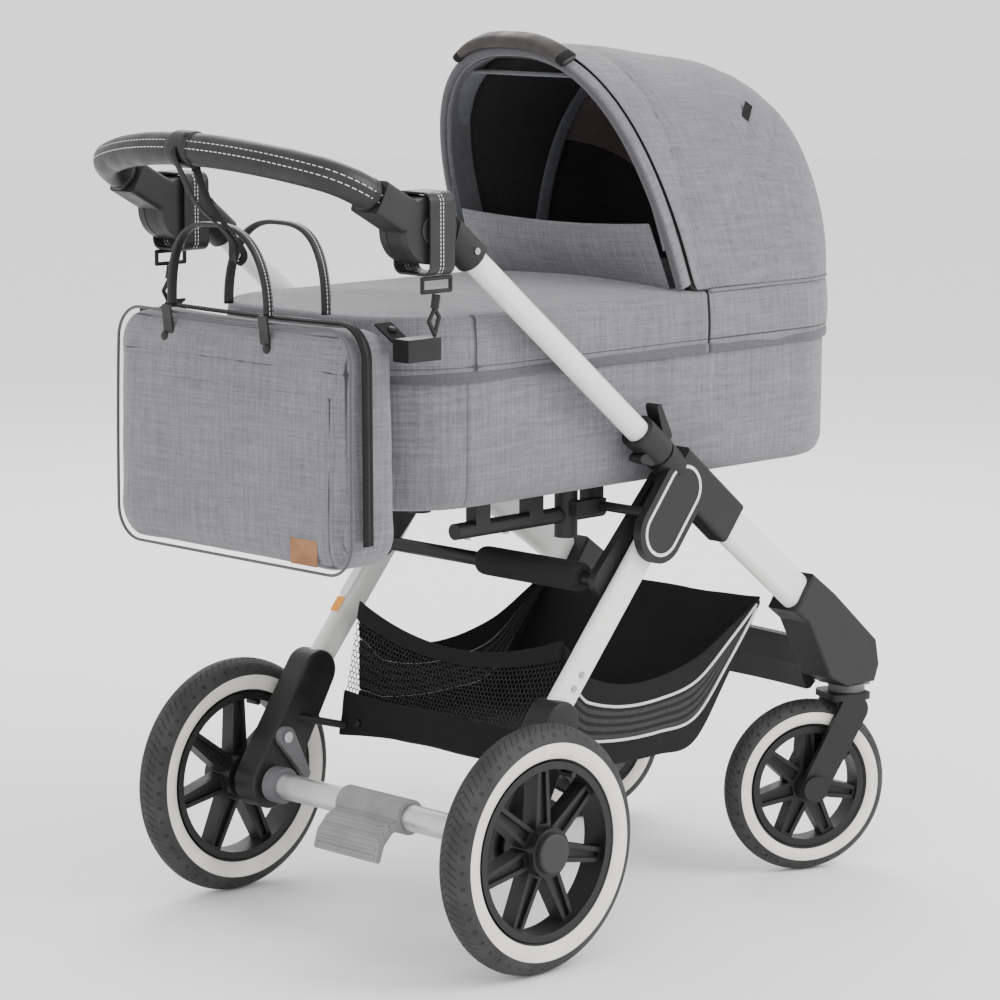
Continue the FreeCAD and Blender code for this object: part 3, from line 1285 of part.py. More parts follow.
def hood_canopy():
    """Canopy shell from the bow to the head end, with the skirt below it."""
    shell = canopy_loft(0).cut(canopy_loft(CANOPY_T))
    wide = 2 * COT_HALF
    front = bow_point(-wide, -COT_H, -SLIP)
    up = bow_point(-wide, 2 * BOW_HEIGHT, -SLIP)
    across = V(0, 2 * wide, 0)
    block = Part.Face(Part.makePolygon([front, up, up + across, front + across, front]))
    keep = block.extrude(BOW_NORMAL * (COT_REAR - COT_FRONT))
    shell = shell.common(keep)
    for side in LEFT_RIGHT:
        shell = shell.cut(rod_y(HOOD_X, HOOD_Z, side * (BOW_HALF + SLIP), side * COT_HALF / 2,
                                HOOD_LOBE_R + HOOD_LOBE_ROOM))
    skirt = skirt_shell(CANOPY_BASE + BOW_IN)
    skirt = skirt.cut(box(2 * COT_REAR, APRON_SIDE_X + SKIRT_SPLIT, -wide, wide, COT_BOTTOM, HOOD_Z))
    return shell.fuse(skirt).removeSplitter()


# --- Bag ------------------------------------------------------------------------------------

def bag_shell():
    """Changing bag body."""
    block = box(BAG_REAR, BAG_FRONT, -BAG_HALF, BAG_HALF, BAG_BOTTOM, BAG_TOP)
    wall = [e for e in block.Edges if abs(e.tangentAt(e.FirstParameter).x) > 0.99]
    block = block.makeFillet(BAG_CORNER, wall)
    rims = [e for e in block.Edges if abs(e.BoundBox.XMax - e.BoundBox.XMin) < 0.01]
    return block.makeFillet(BAG_EDGE, rims)


def bag_loop(x, y_mid):
    """Carrying loop standing on the bag."""
    half = LOOP_HALF
    low = BAG_TOP + SEAT

    def arch(reach, rise):
        """Outline of straight feet and a round top."""
        shoulder = low + rise * LOOP_SHOULDER
        first = Part.LineSegment(V(x, y_mid - reach, low), V(x, y_mid - reach, shoulder)).toShape()
        over = Part.Arc(V(x, y_mid - reach, shoulder), V(x, y_mid, low + rise),
                        V(x, y_mid + reach, shoulder)).toShape()
        last = Part.LineSegment(V(x, y_mid + reach, shoulder), V(x, y_mid + reach, low)).toShape()
        base = Part.LineSegment(V(x, y_mid + reach, low), V(x, y_mid - reach, low)).toShape()
        return Part.Face(Part.Wire([first, over, last, base]))

    outer = arch(half, LOOP_RISE).extrude(V(LOOP_W, 0, 0))
    return outer.cut(arch(half - LOOP_T, LOOP_RISE - LOOP_T).extrude(V(LOOP_W, 0, 0)))


def bag_loops():
    """Both carrying loops of the bag."""
    rear = bag_loop(BAG_REAR + LOOP_INSET, LOOP_MIDDLES[0])
    front = bag_loop(BAG_FRONT - LOOP_INSET - LOOP_W, LOOP_MIDDLES[1])
    return Part.makeCompound([rear, front])


def bag_strap(side):
    """Leather strap looped round a handle knuckle."""
    def ring(grow):
        """Rounded block of the loop's outline, grown outwards."""
        block = box(STRAP_X - STRAP_W / 2, STRAP_X + STRAP_W / 2, side * (STRAP_IN - grow),
                    side * (STRAP_OUT + grow), STRAP_LOW - grow, STRAP_TOP + grow)
        long_edges = [e for e in block.Edges if abs(e.tangentAt(e.FirstParameter).x) > 0.99]
        return block.makeFillet(STRAP_CORNER + grow, long_edges)

    return ring(STRAP_T).cut(ring(0))


def wire_ring(points, radius):
    """Closed ring of round rods through the points, with ball corners."""
    body = None
    for first, second in zip(points, points[1:] + points[:1]):
        run = rod(first, second, radius).fuse(Part.makeSphere(radius, first))
        body = run if body is None else body.fuse(run)
    return body.removeSplitter()


def bag_hardware():
    """Rings, snap hooks and side tabs that hang the bag on its straps."""
    solids = []
    half = STRAP_W / 2 + RING_REACH
    for side in LEFT_RIGHT:
        y = side * (STRAP_OUT - STRAP_HOOK_IN)
        low = RING_TOP - RING_H
        frame = [V(STRAP_X - half, y, RING_TOP), V(STRAP_X + half, y, RING_TOP),
                 V(STRAP_X + half, y, low), V(STRAP_X - half, y, low)]
        solids.append(wire_ring(frame, RING_WIRE))
        neck = V(STRAP_X - HOOK_LEAN, y, HOOK_TOP - HOOK_NECK)
        hook = rod(V(STRAP_X, y, HOOK_TOP), neck, HOOK_R)
        ahead, behind = [V(STRAP_X + x, y, HOOK_TOP - drop) for x, drop in EYE_SIDES]
        eye = [neck, ahead, V(STRAP_X - HOOK_LEAN, y, EYE_LOW), behind]
        solids.append(fused(hook, wire_ring(eye, RING_WIRE)))
        ear = box(BAG_FRONT - EAR_LAP, STRAP_X + EAR_AHEAD, side * (BAG_HALF + SEAT),
                  side * (STRAP_OUT - EAR_IN), EAR_TOP - EAR_H, EAR_TOP)
        solids.append(ear)
    return Part.makeCompound(solids)


# --- Basket ---------------------------------------------------------------------------------

def basket():
    """Shopping basket: a sling with an open top, hung between the legs."""
    body = prism_y(BASKET_OUTER, -BASKET_HALF, BASKET_HALF)
    room = prism_y(BASKET_INNER, -BASKET_HALF + BASKET_T, BASKET_HALF - BASKET_T)
    return body.cut(room)


# --- Build ----------------------------------------------------------------------------------

def build():
    """Make every node of the stroller, by name."""
    nodes = {
        "front_legs": both_sides(front_leg),
        "push_tubes": both_sides(push_tube),
        "hub_housings": both_sides(hub_housing),
        "hub_rings": both_sides(hub_ring),
        "hub_badges": both_sides(hub_badge),
        "front_knees": both_sides(front_knee),
        "knee_fittings": both_sides(knee_fitting),
        "front_cross_bow": front_cross_bow(),
        "front_bow_tread": front_bow_tread(),
        "cot_rails": both_sides(cot_rail),
        "cot_adaptors": both_sides(cot_adaptor),
        "frame_screws": frame_screws(),
        "knuckle_bases": both_sides(knuckle_base),
        "basket": basket(),
        "rear_legs": both_sides(rear_leg),
        "link_arms": both_sides(link_arm),
        "cross_bar": cross_bar(),
        "cross_bar_foam": cross_bar_foam(),
        "rear_housings": both_sides(rear_housing),
        "rear_axle": rear_axle(),
        "axle_clamps": both_sides(axle_clamp),
        "basket_stays": both_sides(basket_stay),
        "rear_screws": rear_screws(),
        "brake_pedal": brake_pedal(),
        "handle_knuckles": both_sides(handle_knuckle),
        "handlebar": handlebar(),
        "wrist_strap": wrist_strap(),
        "cot_tub": cot_tub(),
        "cot_mattress": cot_mattress(),
        "cot_apron": cot_apron(),
        "wind_flap": wind_flap(),
        "hood_bow": hood_bow(),
        "hood_handle": hood_handle(),
        "hood_canopy": hood_canopy(),
        "bag_shell": bag_shell(),
        "bag_loops": bag_loops(),
        "bag_straps": both_sides(bag_strap),
        "bag_hardware": bag_hardware(),
    }
    for side, name in ((1, "left"), (-1, "right")):
        nodes["rear_tyre_" + name] = rear_tyre(side)
        nodes["rear_rim_" + name] = rear_rim(side)
        nodes["rear_cap_" + name] = rear_cap(side)
        nodes["front_tyre_" + name] = front_tyre(side)
        nodes["front_rim_" + name] = front_rim(side)
        nodes["fork_" + name] = fork(side)
        nodes["front_axle_" + name] = front_axle(side)
        nodes["lock_ring_" + name] = lock_ring(side)
        nodes["handle_button_" + name] = handle_button(side)
        nodes["fold_collar_" + name] = fold_collar(side)
        nodes["release_lever_" + name] = release_lever(side)
    return nodes


os.makedirs("parts", exist_ok=True)
for node, shape in build().items():
    shape.exportStep("parts/" + node + ".step")
    print(node, len(shape.Solids), round(shape.Volume), shape.isValid())
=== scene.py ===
"""Looks of a baby stroller with a carrycot, a changing bag and air tyres.

Every length in the classes is in millimetres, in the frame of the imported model: +X forward, +Y left,
+Z up, with the ground at Z = 0. The helper mm() turns them into the metres of the scene.
"""
from __future__ import annotations

import logging
import math
from dataclasses import dataclass, field
from enum import Enum
from typing import Callable, Iterable, Sequence

import bmesh
import bpy
from mathutils import Matrix, Vector, noise


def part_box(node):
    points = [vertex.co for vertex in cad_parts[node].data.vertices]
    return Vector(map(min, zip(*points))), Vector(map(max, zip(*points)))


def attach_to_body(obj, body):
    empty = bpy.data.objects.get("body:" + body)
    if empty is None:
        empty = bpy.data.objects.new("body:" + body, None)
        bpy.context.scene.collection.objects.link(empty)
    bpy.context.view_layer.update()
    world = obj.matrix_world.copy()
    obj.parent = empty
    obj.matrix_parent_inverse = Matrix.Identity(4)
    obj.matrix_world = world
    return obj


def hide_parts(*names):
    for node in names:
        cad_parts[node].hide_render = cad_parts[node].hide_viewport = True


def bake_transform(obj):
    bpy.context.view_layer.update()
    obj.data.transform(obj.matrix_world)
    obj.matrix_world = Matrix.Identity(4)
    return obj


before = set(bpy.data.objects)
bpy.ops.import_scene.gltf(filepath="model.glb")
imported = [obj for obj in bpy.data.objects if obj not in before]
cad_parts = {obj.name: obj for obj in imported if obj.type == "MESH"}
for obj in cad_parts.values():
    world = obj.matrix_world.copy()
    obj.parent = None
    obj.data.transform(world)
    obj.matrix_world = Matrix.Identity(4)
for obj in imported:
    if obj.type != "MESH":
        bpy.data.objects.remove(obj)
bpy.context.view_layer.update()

LOG = logging.getLogger("stroller")
Place = Callable[[float, float], Vector]
Mark = Callable[[float, float, Vector], float]
SIDES = ((1.0, "left"), (-1.0, "right"))
FAR_SEAM = 1.0


def mm(x: float, y: float, z: float) -> Vector:
    """Point in metres from millimetres."""
    return Vector((x, y, z)) * 0.001


def ease(low: float, high: float, value: float) -> float:
    """Smooth step from 0 at low to 1 at high."""
    t = min(1.0, max(0.0, (value - low) / (high - low)))
    return t * t * (3 - 2 * t)


def through(points: Sequence[tuple[float, float]], x: float) -> float:
    """Value at x of a smooth curve through points.

    Args:
        points: Pairs of x and value, in rising order of x.
        x: Where the curve is read.
    Returns:
        The value, held at the ends.
    """
    if x <= points[0][0]:
        return points[0][1]
    if x >= points[-1][0]:
        return points[-1][1]
    for i, (low, high) in enumerate(zip(points, points[1:])):
        if x <= high[0]:
            before = points[i - 1] if i else low
            after = points[i + 2] if i + 2 < len(points) else high
            span = high[0] - low[0]
            t = (x - low[0]) / span
            rise0 = (high[1] - before[1]) / max(1e-9, high[0] - before[0]) * span
            rise1 = (after[1] - low[1]) / max(1e-9, after[0] - low[0]) * span
            return ((2 * t ** 3 - 3 * t ** 2 + 1) * low[1] + (t ** 3 - 2 * t ** 2 + t) * rise0
                    + (3 * t ** 2 - 2 * t ** 3) * high[1] + (t ** 3 - t ** 2) * rise1)
    return points[-1][1]


def ripple(spot: Vector, size: float, depth: float) -> float:
    """Soft repeatable unevenness of cloth at a spot, in the unit of depth."""
    return noise.noise(spot * (1000.0 / size)) * depth


# --- Shader helpers -------------------------------------------------------------------------

class Graph:
    """Adds and joins the nodes of one tree."""

    def __init__(self, tree: bpy.types.NodeTree) -> None:
        """Keep the tree."""
        self.tree = tree

    def add(self, kind: str, settings: dict[str, object] | None = None, **inputs: object) -> bpy.types.Node:
        """Add a node.

        Args:
            kind: Node type without its ShaderNode prefix.
            settings: Properties of the node.
            inputs: Values or sockets by input name, with _ for a space.
        Returns:
            The new node.
        """
        node = self.tree.nodes.new("ShaderNode" + kind)
        for key, value in (settings or {}).items():
            setattr(node, key, value)
        for key, value in inputs.items():
            self.put(node, key.replace("_", " "), value)
        return node

    def put(self, node: bpy.types.Node, key: str | int, value: object) -> None:
        """Set or join one input of a node."""
        socket = node.inputs[key]
        if isinstance(value, bpy.types.NodeSocket):
            self.tree.links.new(value, socket)
        else:
            socket.default_value = value

    def math(self, step: str, *values: object) -> bpy.types.NodeSocket:
        """Result of a Math node on one to three values."""
        node = self.tree.nodes.new("ShaderNodeMath")
        node.operation = step
        for index, value in enumerate(values):
            self.put(node, index, value)
        return node.outputs[0]

    def smooth(self, value: object, low: float, high: float, to_low: float = 0.0,
               to_high: float = 1.0) -> bpy.types.NodeSocket:
        """Smooth step of a value between two bounds."""
        node = self.add("MapRange", {"interpolation_type": "SMOOTHSTEP"})
        for key, given in (("Value", value), ("From Min", low), ("From Max", high),
                           ("To Min", to_low), ("To Max", to_high)):
            self.put(node, key, given)
        return node.outputs[0]

    def mix(self, share: object, first: object, second: object, how: str = "MIX") -> bpy.types.NodeSocket:
        """Colour between two colours."""
        node = self.add("Mix", {"data_type": "RGBA", "blend_type": how})
        self.put(node, 0, share)
        self.put(node, 6, first)
        self.put(node, 7, second)
        return node.outputs[2]

    def scaled(self, vector: object, scale: tuple[float, float, float]) -> bpy.types.NodeSocket:
        """Vector multiplied by a scale along each axis."""
        node = self.add("VectorMath", {"operation": "MULTIPLY"})
        self.put(node, 0, vector)
        self.put(node, 1, scale)
        return node.outputs[0]


def rgb(value: float | tuple[float, float, float]) -> tuple[float, float, float, float]:
    """Linear colour with its alpha, from a grey or three parts."""
    parts = (value, value, value) if isinstance(value, (int, float)) else value
    return (parts[0], parts[1], parts[2], 1.0)


class Effects:
    """Shader groups shared by the finishes, each built once."""

    made: dict[str, bpy.types.NodeTree] = {}

    @classmethod
    def new(cls, name: str, inputs: Sequence[tuple[str, str, float]],
            outputs: Sequence[str]) -> tuple[Graph, bpy.types.Node, bpy.types.Node]:
        """Start a group with its sockets.

        Args:
            name: Name of the group.
            inputs: Name, kind (Float or Vector) and start value of each input.
            outputs: Names of the plain number outputs.
        Returns:
            The graph, its input node and its output node.
        """
        tree = bpy.data.node_groups.new(name, "ShaderNodeTree")
        for label, kind, value in inputs:
            socket = tree.interface.new_socket(label, in_out="INPUT", socket_type="NodeSocket" + kind)
            if kind == "Float":
                socket.default_value = value
        for label in outputs:
            tree.interface.new_socket(label, in_out="OUTPUT", socket_type="NodeSocketFloat")
        cls.made[name] = tree
        graph = Graph(tree)
        source = tree.nodes.new("NodeGroupInput")
        sink = tree.nodes.new("NodeGroupOutput")
        return graph, source, sink

    @classmethod
    def threads(cls) -> bpy.types.NodeTree:
        """Woven cloth: fine threads both ways with longer slubs. Puts out Shade and Height."""
        if "threads" in cls.made:
            return cls.made["threads"]
        g, source, sink = cls.new("threads", [("Vector", "Vector", 0), ("Pitch", "Float", 0.0007),
                                              ("Slub", "Float", 0.5)], ["Shade", "Height"])
        inverse = g.math("DIVIDE", 1.0, source.outputs["Pitch"])
        scale = g.add("VectorMath", {"operation": "SCALE"})
        g.put(scale, 0, source.outputs["Vector"])
        g.put(scale, "Scale", inverse)
        grid = scale.outputs[0]
        layers = []
        for stretch, size in (((1.0, 0.07, 1.0), 0.9), ((0.07, 1.0, 1.0), 0.9),
                              ((0.3, 0.012, 1.0), 0.9), ((0.012, 0.3, 1.0), 0.9)):
            layer = g.add("TexNoise", Scale=size, Detail=2.0, Roughness=0.6)
            g.put(layer, "Vector", g.scaled(grid, stretch))
            layers.append(g.smooth(layer.outputs[0], 0.33, 0.67))
        fine = g.math("MULTIPLY", g.math("ADD", layers[0], layers[1]), 0.5)
        long = g.math("MULTIPLY", g.math("ADD", layers[2], layers[3]), 0.5)
        shade = g.add("Mix", {"data_type": "FLOAT"})
        g.put(shade, 0, source.outputs["Slub"])
        g.put(shade, 2, fine)
        g.put(shade, 3, long)
        parts = g.add("SeparateXYZ")
        g.put(parts, 0, grid)
        across = g.math("SINE", g.math("MULTIPLY", parts.outputs[0], math.tau))
        down = g.math("SINE", g.math("MULTIPLY", parts.outputs[1], math.tau))
        weave = g.math("MULTIPLY_ADD", g.math("MULTIPLY", across, down), 0.3, 0.5)
        height = g.math("ADD", weave, g.math("MULTIPLY", long, 0.8))
        g.tree.links.new(shade.outputs[0], sink.inputs["Shade"])
        g.tree.links.new(height, sink.inputs["Height"])
        return g.tree

    @classmethod
    def grain(cls) -> bpy.types.NodeTree:
        """Fine moulded or leather grain with broad blotches. Puts out Height and Blotch."""
        if "grain" in cls.made:
            return cls.made["grain"]
        g, source, sink = cls.new("grain", [("Vector", "Vector", 0), ("Scale", "Float", 900.0)],
                                  ["Height", "Blotch"])
        cells = g.add("TexVoronoi", {"feature": "SMOOTH_F1"}, Smoothness=0.6)
        g.put(cells, "Vector", source.outputs["Vector"])
        g.put(cells, "Scale", source.outputs["Scale"])
        broad = g.add("TexNoise", Scale=28.0, Detail=3.0)
        g.put(broad, "Vector", source.outputs["Vector"])
        g.tree.links.new(cells.outputs["Distance"], sink.inputs["Height"])
        g.tree.links.new(g.smooth(broad.outputs[0], 0.3, 0.7), sink.inputs["Blotch"])
        return g.tree

    @classmethod
    def seam(cls) -> bpy.types.NodeTree:
        """Sewn seam with a dashed stitch beside it. Puts out Groove and Stitch."""
        if "seam" in cls.made:
            return cls.made["seam"]
        g, source, sink = cls.new("seam", [("Distance", "Float", FAR_SEAM), ("Along", "Float", 0),
                                           ("Width", "Float", 0.0016), ("Offset", "Float", 0.004),
                                           ("Pitch", "Float", 0.004)], ["Groove", "Stitch"])
        gap = g.math("ABSOLUTE", source.outputs["Distance"])
        near = g.math("DIVIDE", gap, source.outputs["Width"])
        groove = g.smooth(near, 0.2, 1.0, 1.0, 0.0)
        aside = g.math("ABSOLUTE", g.math("SUBTRACT", gap, source.outputs["Offset"]))
        line = g.smooth(g.math("DIVIDE", aside, source.outputs["Width"]), 0.15, 0.5, 1.0, 0.0)
        dash = g.math("FRACT", g.math("DIVIDE", source.outputs["Along"], source.outputs["Pitch"]))
        dash = g.math("MULTIPLY", g.smooth(dash, 0.1, 0.2), g.smooth(dash, 0.75, 0.85, 1.0, 0.0))
        g.tree.links.new(groove, sink.inputs["Groove"])
        g.tree.links.new(g.math("MULTIPLY", line, dash), sink.inputs["Stitch"])
        return g.tree


class Coords(Enum):
    """Where a pattern takes its place from."""

    CLOTH = "UV"
    SOLID = "Object"


@dataclass(frozen=True)
class Finish:
    """Base of all finishes: a name, a colour and a roughness."""

    name: str
    colour: float | tuple[float, float, float]
    rough: float = 0.5

    def begin(self) -> tuple[bpy.types.Material, Graph, bpy.types.Node]:
        """Empty material with its Principled shader."""
        material = bpy.data.materials.new(self.name)
        material.use_nodes = True
        g = Graph(material.node_tree)
        shader = material.node_tree.nodes["Principled BSDF"]
        shader.inputs["Base Color"].default_value = rgb(self.colour)
        shader.inputs["Roughness"].default_value = self.rough
        shader.inputs["Specular IOR Level"].default_value = 0.35
        return material, g, shader

    def place(self, g: Graph, coords: Coords) -> bpy.types.NodeSocket:
        """Coordinates of the pattern."""
        if coords is Coords.CLOTH:
            return g.add("UVMap", {"uv_map": "cloth"}).outputs[0]
        return g.add("TexCoord").outputs["Object"]

    def group(self, g: Graph, tree: bpy.types.NodeTree, **inputs: object) -> bpy.types.Node:
        """Place a shared group with its own values."""
        node = g.tree.nodes.new("ShaderNodeGroup")
        node.node_tree = tree
        for key, value in inputs.items():
            g.put(node, key, value)
        return node

    def bump(self, g: Graph, shader: bpy.types.Node, height: object, depth: float,
             strength: float = 1.0) -> None:
        """Join a height to the shader as a bump."""
        node = g.add("Bump", Height=height, Distance=depth, Strength=strength)
        g.put(shader, "Normal", node.outputs[0])

    def make(self) -> bpy.types.Material:
        """Build the material."""
        raise NotImplementedError


@dataclass(frozen=True)
class Cloth(Finish):
    """Woven cloth with slubs, seams and stitches read from the piece's own marks."""

    dark: float | tuple[float, float, float] = 0.15
    pitch: float = 0.0009
    slub: float = 0.55
    sheen: float = 0.25
    seam_width: float = 0.0018
    stitch: float = 0.12
    stitch_offset: float = 0.0045
    rough: float = 0.9

    def make(self) -> bpy.types.Material:
        """Build the material."""
        material, g, shader = self.begin()
        where = self.place(g, Coords.CLOTH)
        threads = self.group(g, Effects.threads(), Vector=where, Pitch=self.pitch, Slub=self.slub)
        mark = g.add("Attribute", {"attribute_name": "seam"}).outputs["Fac"]
        parts = g.add("SeparateXYZ")
        g.put(parts, 0, where)
        along = g.math("ADD", parts.outputs[0], parts.outputs[1])
        seam = self.group(g, Effects.seam(), Distance=mark, Along=along, Width=self.seam_width,
                          Offset=self.stitch_offset)
        groove, stitch = seam.outputs["Groove"], seam.outputs["Stitch"]
        base = g.mix(threads.outputs["Shade"], rgb(self.dark), rgb(self.colour))
        broad = g.add("TexNoise", Scale=5.0, Detail=2.0)
        g.put(broad, "Vector", where)
        base = g.mix(g.smooth(broad.outputs[0], 0.3, 0.7, 0.0, 0.16), base, rgb(self.dark))
        grey = self.dark if isinstance(self.dark, float) else self.dark[0]
        # Painted shade: the seam groove is painted near-black as the shadow in its crease, on top of its
        # bump.
        base = g.mix(g.math("MULTIPLY", groove, 0.9), base, rgb(grey * 0.2))
        base = g.mix(g.math("MULTIPLY", stitch, 0.7), base, rgb(self.stitch))
        g.put(shader, "Base Color", base)
        shader.inputs["Sheen Weight"].default_value = self.sheen
        shader.inputs["Sheen Roughness"].default_value = 0.5
        shader.inputs["Specular IOR Level"].default_value = 0.25
        height = g.math("MULTIPLY_ADD", groove, -5.0, threads.outputs["Height"])
        height = g.math("MULTIPLY_ADD", stitch, 0.8, height)
        self.bump(g, shader, height, 0.0003, 0.7)
        return material


@dataclass(frozen=True)
class Leather(Finish):
    """Black grained leather with dashed stitch rows along the piece."""

    rows: tuple[float, ...] = ()
    row_half: float = 0.0007
    pitch: float = 0.005
    thread: float = 0.75
    across_v: bool = True

    def make(self) -> bpy.types.Material:
        """Build the material."""
        material, g, shader = self.begin()
        where = self.place(g, Coords.CLOTH)
        grain = self.group(g, Effects.grain(), Vector=where, Scale=700.0)
        deeper = tuple(0.7 * part for part in rgb(self.colour))
        base = g.mix(grain.outputs["Blotch"], rgb(self.colour), deeper)
        height = g.math("MULTIPLY", grain.outputs["Height"], 0.6)
        parts = g.add("SeparateXYZ")
        g.put(parts, 0, where)
        over = parts.outputs[1 if self.across_v else 0]
        along = parts.outputs[0 if self.across_v else 1]
        for row in self.rows:
            gap = g.math("SUBTRACT", over, row)
            seam = self.group(g, Effects.seam(), Distance=gap, Along=along, Width=self.row_half * 2,
                              Offset=0.0, Pitch=self.pitch)
            base = g.mix(seam.outputs["Stitch"], base, rgb(self.thread))
            height = g.math("MULTIPLY_ADD", seam.outputs["Groove"], -1.0, height)
            height = g.math("MULTIPLY_ADD", seam.outputs["Stitch"], 1.6, height)
        g.put(shader, "Base Color", base)
        g.put(shader, "Roughness", g.smooth(grain.outputs["Blotch"], 0.0, 1.0, self.rough, self.rough + 0.12))
        shader.inputs["Specular IOR Level"].default_value = 0.45
        self.bump(g, shader, height, 0.0003, 0.6)
        return material


@dataclass(frozen=True)
class Moulded(Finish):
    """Moulded plastic, foam or lacquer with a fine grain and worn, dusty patches."""

    grain: float = 1100.0
    depth: float = 0.00012
    dust: float = 0.12
    metal: float = 0.0
    coat: float = 0.0

    def make(self) -> bpy.types.Material:
        """Build the material."""
        material, g, shader = self.begin()
        where = self.place(g, Coords.SOLID)
        grain = self.group(g, Effects.grain(), Vector=where, Scale=self.grain)
        tone = rgb(self.colour)
        worn = tuple(min(1.0, part * (1.0 + 2 * self.dust) + 0.02 * self.dust) for part in tone[:3]) + (1.0,)
        g.put(shader, "Base Color", g.mix(grain.outputs["Blotch"], tone, worn))
        g.put(shader, "Roughness", g.smooth(grain.outputs["Blotch"], 0.0, 1.0, self.rough, self.rough + 0.1))
        shader.inputs["Metallic"].default_value = self.metal
        shader.inputs["Coat Weight"].default_value = self.coat
        shader.inputs["Coat Roughness"].default_value = 0.25
        self.bump(g, shader, grain.outputs["Height"], self.depth, 0.5)
        return material


@dataclass(frozen=True)
class Rubber(Finish):
    """Tyre rubber with a white side ring and rows of dimples, centred on one wheel."""

    centre: tuple[float, float, float] = (0.0, 0.0, 0.0)
    turn: float = 0.0
    ring: tuple[float, float] = (0.1115, 0.1305)
    radius: float = 0.15
    dimples: int = 46

    def make(self) -> bpy.types.Material:
        """Build the material."""
        material, g, shader = self.begin()
        where = g.add("Mapping", {"vector_type": "TEXTURE"})
        g.put(where, "Vector", self.place(g, Coords.SOLID))
        where.inputs["Location"].default_value = self.centre
        where.inputs["Rotation"].default_value = (0.0, 0.0, math.radians(self.turn))
        parts = g.add("SeparateXYZ")
        g.put(parts, 0, where.outputs[0])
        x, y, z = parts.outputs[0], parts.outputs[1], parts.outputs[2]
        reach = g.math("SQRT", g.math("ADD", g.math("MULTIPLY", x, x), g.math("MULTIPLY", z, z)))
        ring = g.math("MULTIPLY", g.smooth(reach, self.ring[0] - 0.0004, self.ring[0] + 0.0004),
                      g.smooth(reach, self.ring[1] - 0.0004, self.ring[1] + 0.0004, 1.0, 0.0))
        angle = g.math("MULTIPLY", g.math("ARCTAN2", x, z), self.dimples / math.tau)
        cell = g.math("SUBTRACT", g.math("FRACT", angle), 0.5)
        pitch = math.tau * self.radius * 0.94 / self.dimples
        around = g.math("MULTIPLY", cell, pitch)
        off = g.math("SUBTRACT", reach, self.radius * 0.935)
        gap = g.math("SQRT", g.math("ADD", g.math("MULTIPLY", around, around), g.math("MULTIPLY", off, off)))
        dimple = g.smooth(gap, 0.0016, 0.0028, 1.0, 0.0)
        across = g.math("ADD", angle, g.math("MULTIPLY", g.math("ABSOLUTE", y), 40.0))
        tread = g.math("PINGPONG", g.math("MULTIPLY", across, 2.0), 0.5)
        tread = g.math("MULTIPLY", g.smooth(tread, 0.36, 0.46),
                       g.smooth(reach, self.radius * 0.965, self.radius * 0.975))
        grain = self.group(g, Effects.grain(), Vector=where.outputs[0], Scale=900.0)
        dusty = g.mix(grain.outputs["Blotch"], rgb(self.colour), rgb(float(self.colour) * 1.6))
        # Painted shade: the dimples and tread grooves are painted darker than the rubber, as the shade in
        # their hollows, on top of their bump.
        dark = g.mix(g.math("MULTIPLY", g.math("MAXIMUM", dimple, tread), 0.6), dusty, rgb(0.008))
        white = g.mix(grain.outputs["Blotch"], rgb((0.8, 0.775, 0.72)), rgb((0.71, 0.685, 0.63)))
        g.put(shader, "Base Color", g.mix(ring, dark, white))
        edge = g.math("MULTIPLY", g.smooth(reach, self.ring[0] - 0.0015, self.ring[0]),
                      g.smooth(reach, self.ring[1], self.ring[1] + 0.0015, 1.0, 0.0))
        height = g.math("MULTIPLY_ADD", edge, 2.0, g.math("MULTIPLY", grain.outputs["Height"], 0.25))
        height = g.math("MULTIPLY_ADD", dimple, -3.0, height)
        height = g.math("MULTIPLY_ADD", tread, -3.0, height)
        self.bump(g, shader, height, 0.0004, 0.9)
        return material


@dataclass(frozen=True)
class Net(Finish):
    """Black netting with round open holes in offset rows."""

    pitch: float = 0.0052
    hole: float = 0.36

    def make(self) -> bpy.types.Material:
        """Build the material."""
        material, g, shader = self.begin()
        where = self.place(g, Coords.CLOTH)
        parts = g.add("SeparateXYZ")
        g.put(parts, 0, where)
        v = g.math("DIVIDE", parts.outputs[1], self.pitch * 0.8)
        row = g.math("MODULO", g.math("FLOOR", v), 2.0)
        u = g.math("ADD", g.math("DIVIDE", parts.outputs[0], self.pitch), g.math("MULTIPLY", row, 0.5))
        du = g.math("SUBTRACT", g.math("FRACT", u), 0.5)
        dv = g.math("MULTIPLY", g.math("SUBTRACT", g.math("FRACT", v), 0.5), 0.8)
        gap = g.math("SQRT", g.math("ADD", g.math("MULTIPLY", du, du), g.math("MULTIPLY", dv, dv)))
        solid = g.smooth(gap, self.hole - 0.05, self.hole + 0.03)
        g.put(shader, "Base Color", g.mix(solid, rgb(0.003), rgb(self.colour)))
        g.put(shader, "Alpha", solid)
        self.bump(g, shader, solid, 0.0004, 0.8)
        return material


@dataclass(frozen=True)
class Ribbed(Finish):
    """Black cloth with level bands: a striped net whose gaps are painted near-black as the shade of the
    basket's inside seen through it.
    """

    pitch: float = 0.0095

    def make(self) -> bpy.types.Material:
        """Build the material."""
        material, g, shader = self.begin()
        where = self.place(g, Coords.CLOTH)
        parts = g.add("SeparateXYZ")
        g.put(parts, 0, where)
        wave = g.math("PINGPONG", g.math("DIVIDE", parts.outputs[1], self.pitch), 0.5)
        band = g.smooth(wave, 0.16, 0.3)
        threads = self.group(g, Effects.threads(), Vector=where, Pitch=0.0012, Slub=0.2)
        band_threads = g.mix(threads.outputs["Shade"], rgb(float(self.colour)), rgb(float(self.colour) * 2.2))
        # Painted shade: between the bands the colour is near-black, standing for the shaded inside of the
        # basket behind the net; the bands keep the net's own thread colour.
        g.put(shader, "Base Color", g.mix(band, rgb(0.006), band_threads))
        self.bump(g, shader, g.math("MULTIPLY_ADD", band, 1.5, threads.outputs["Height"]), 0.0004, 0.8)
        return material


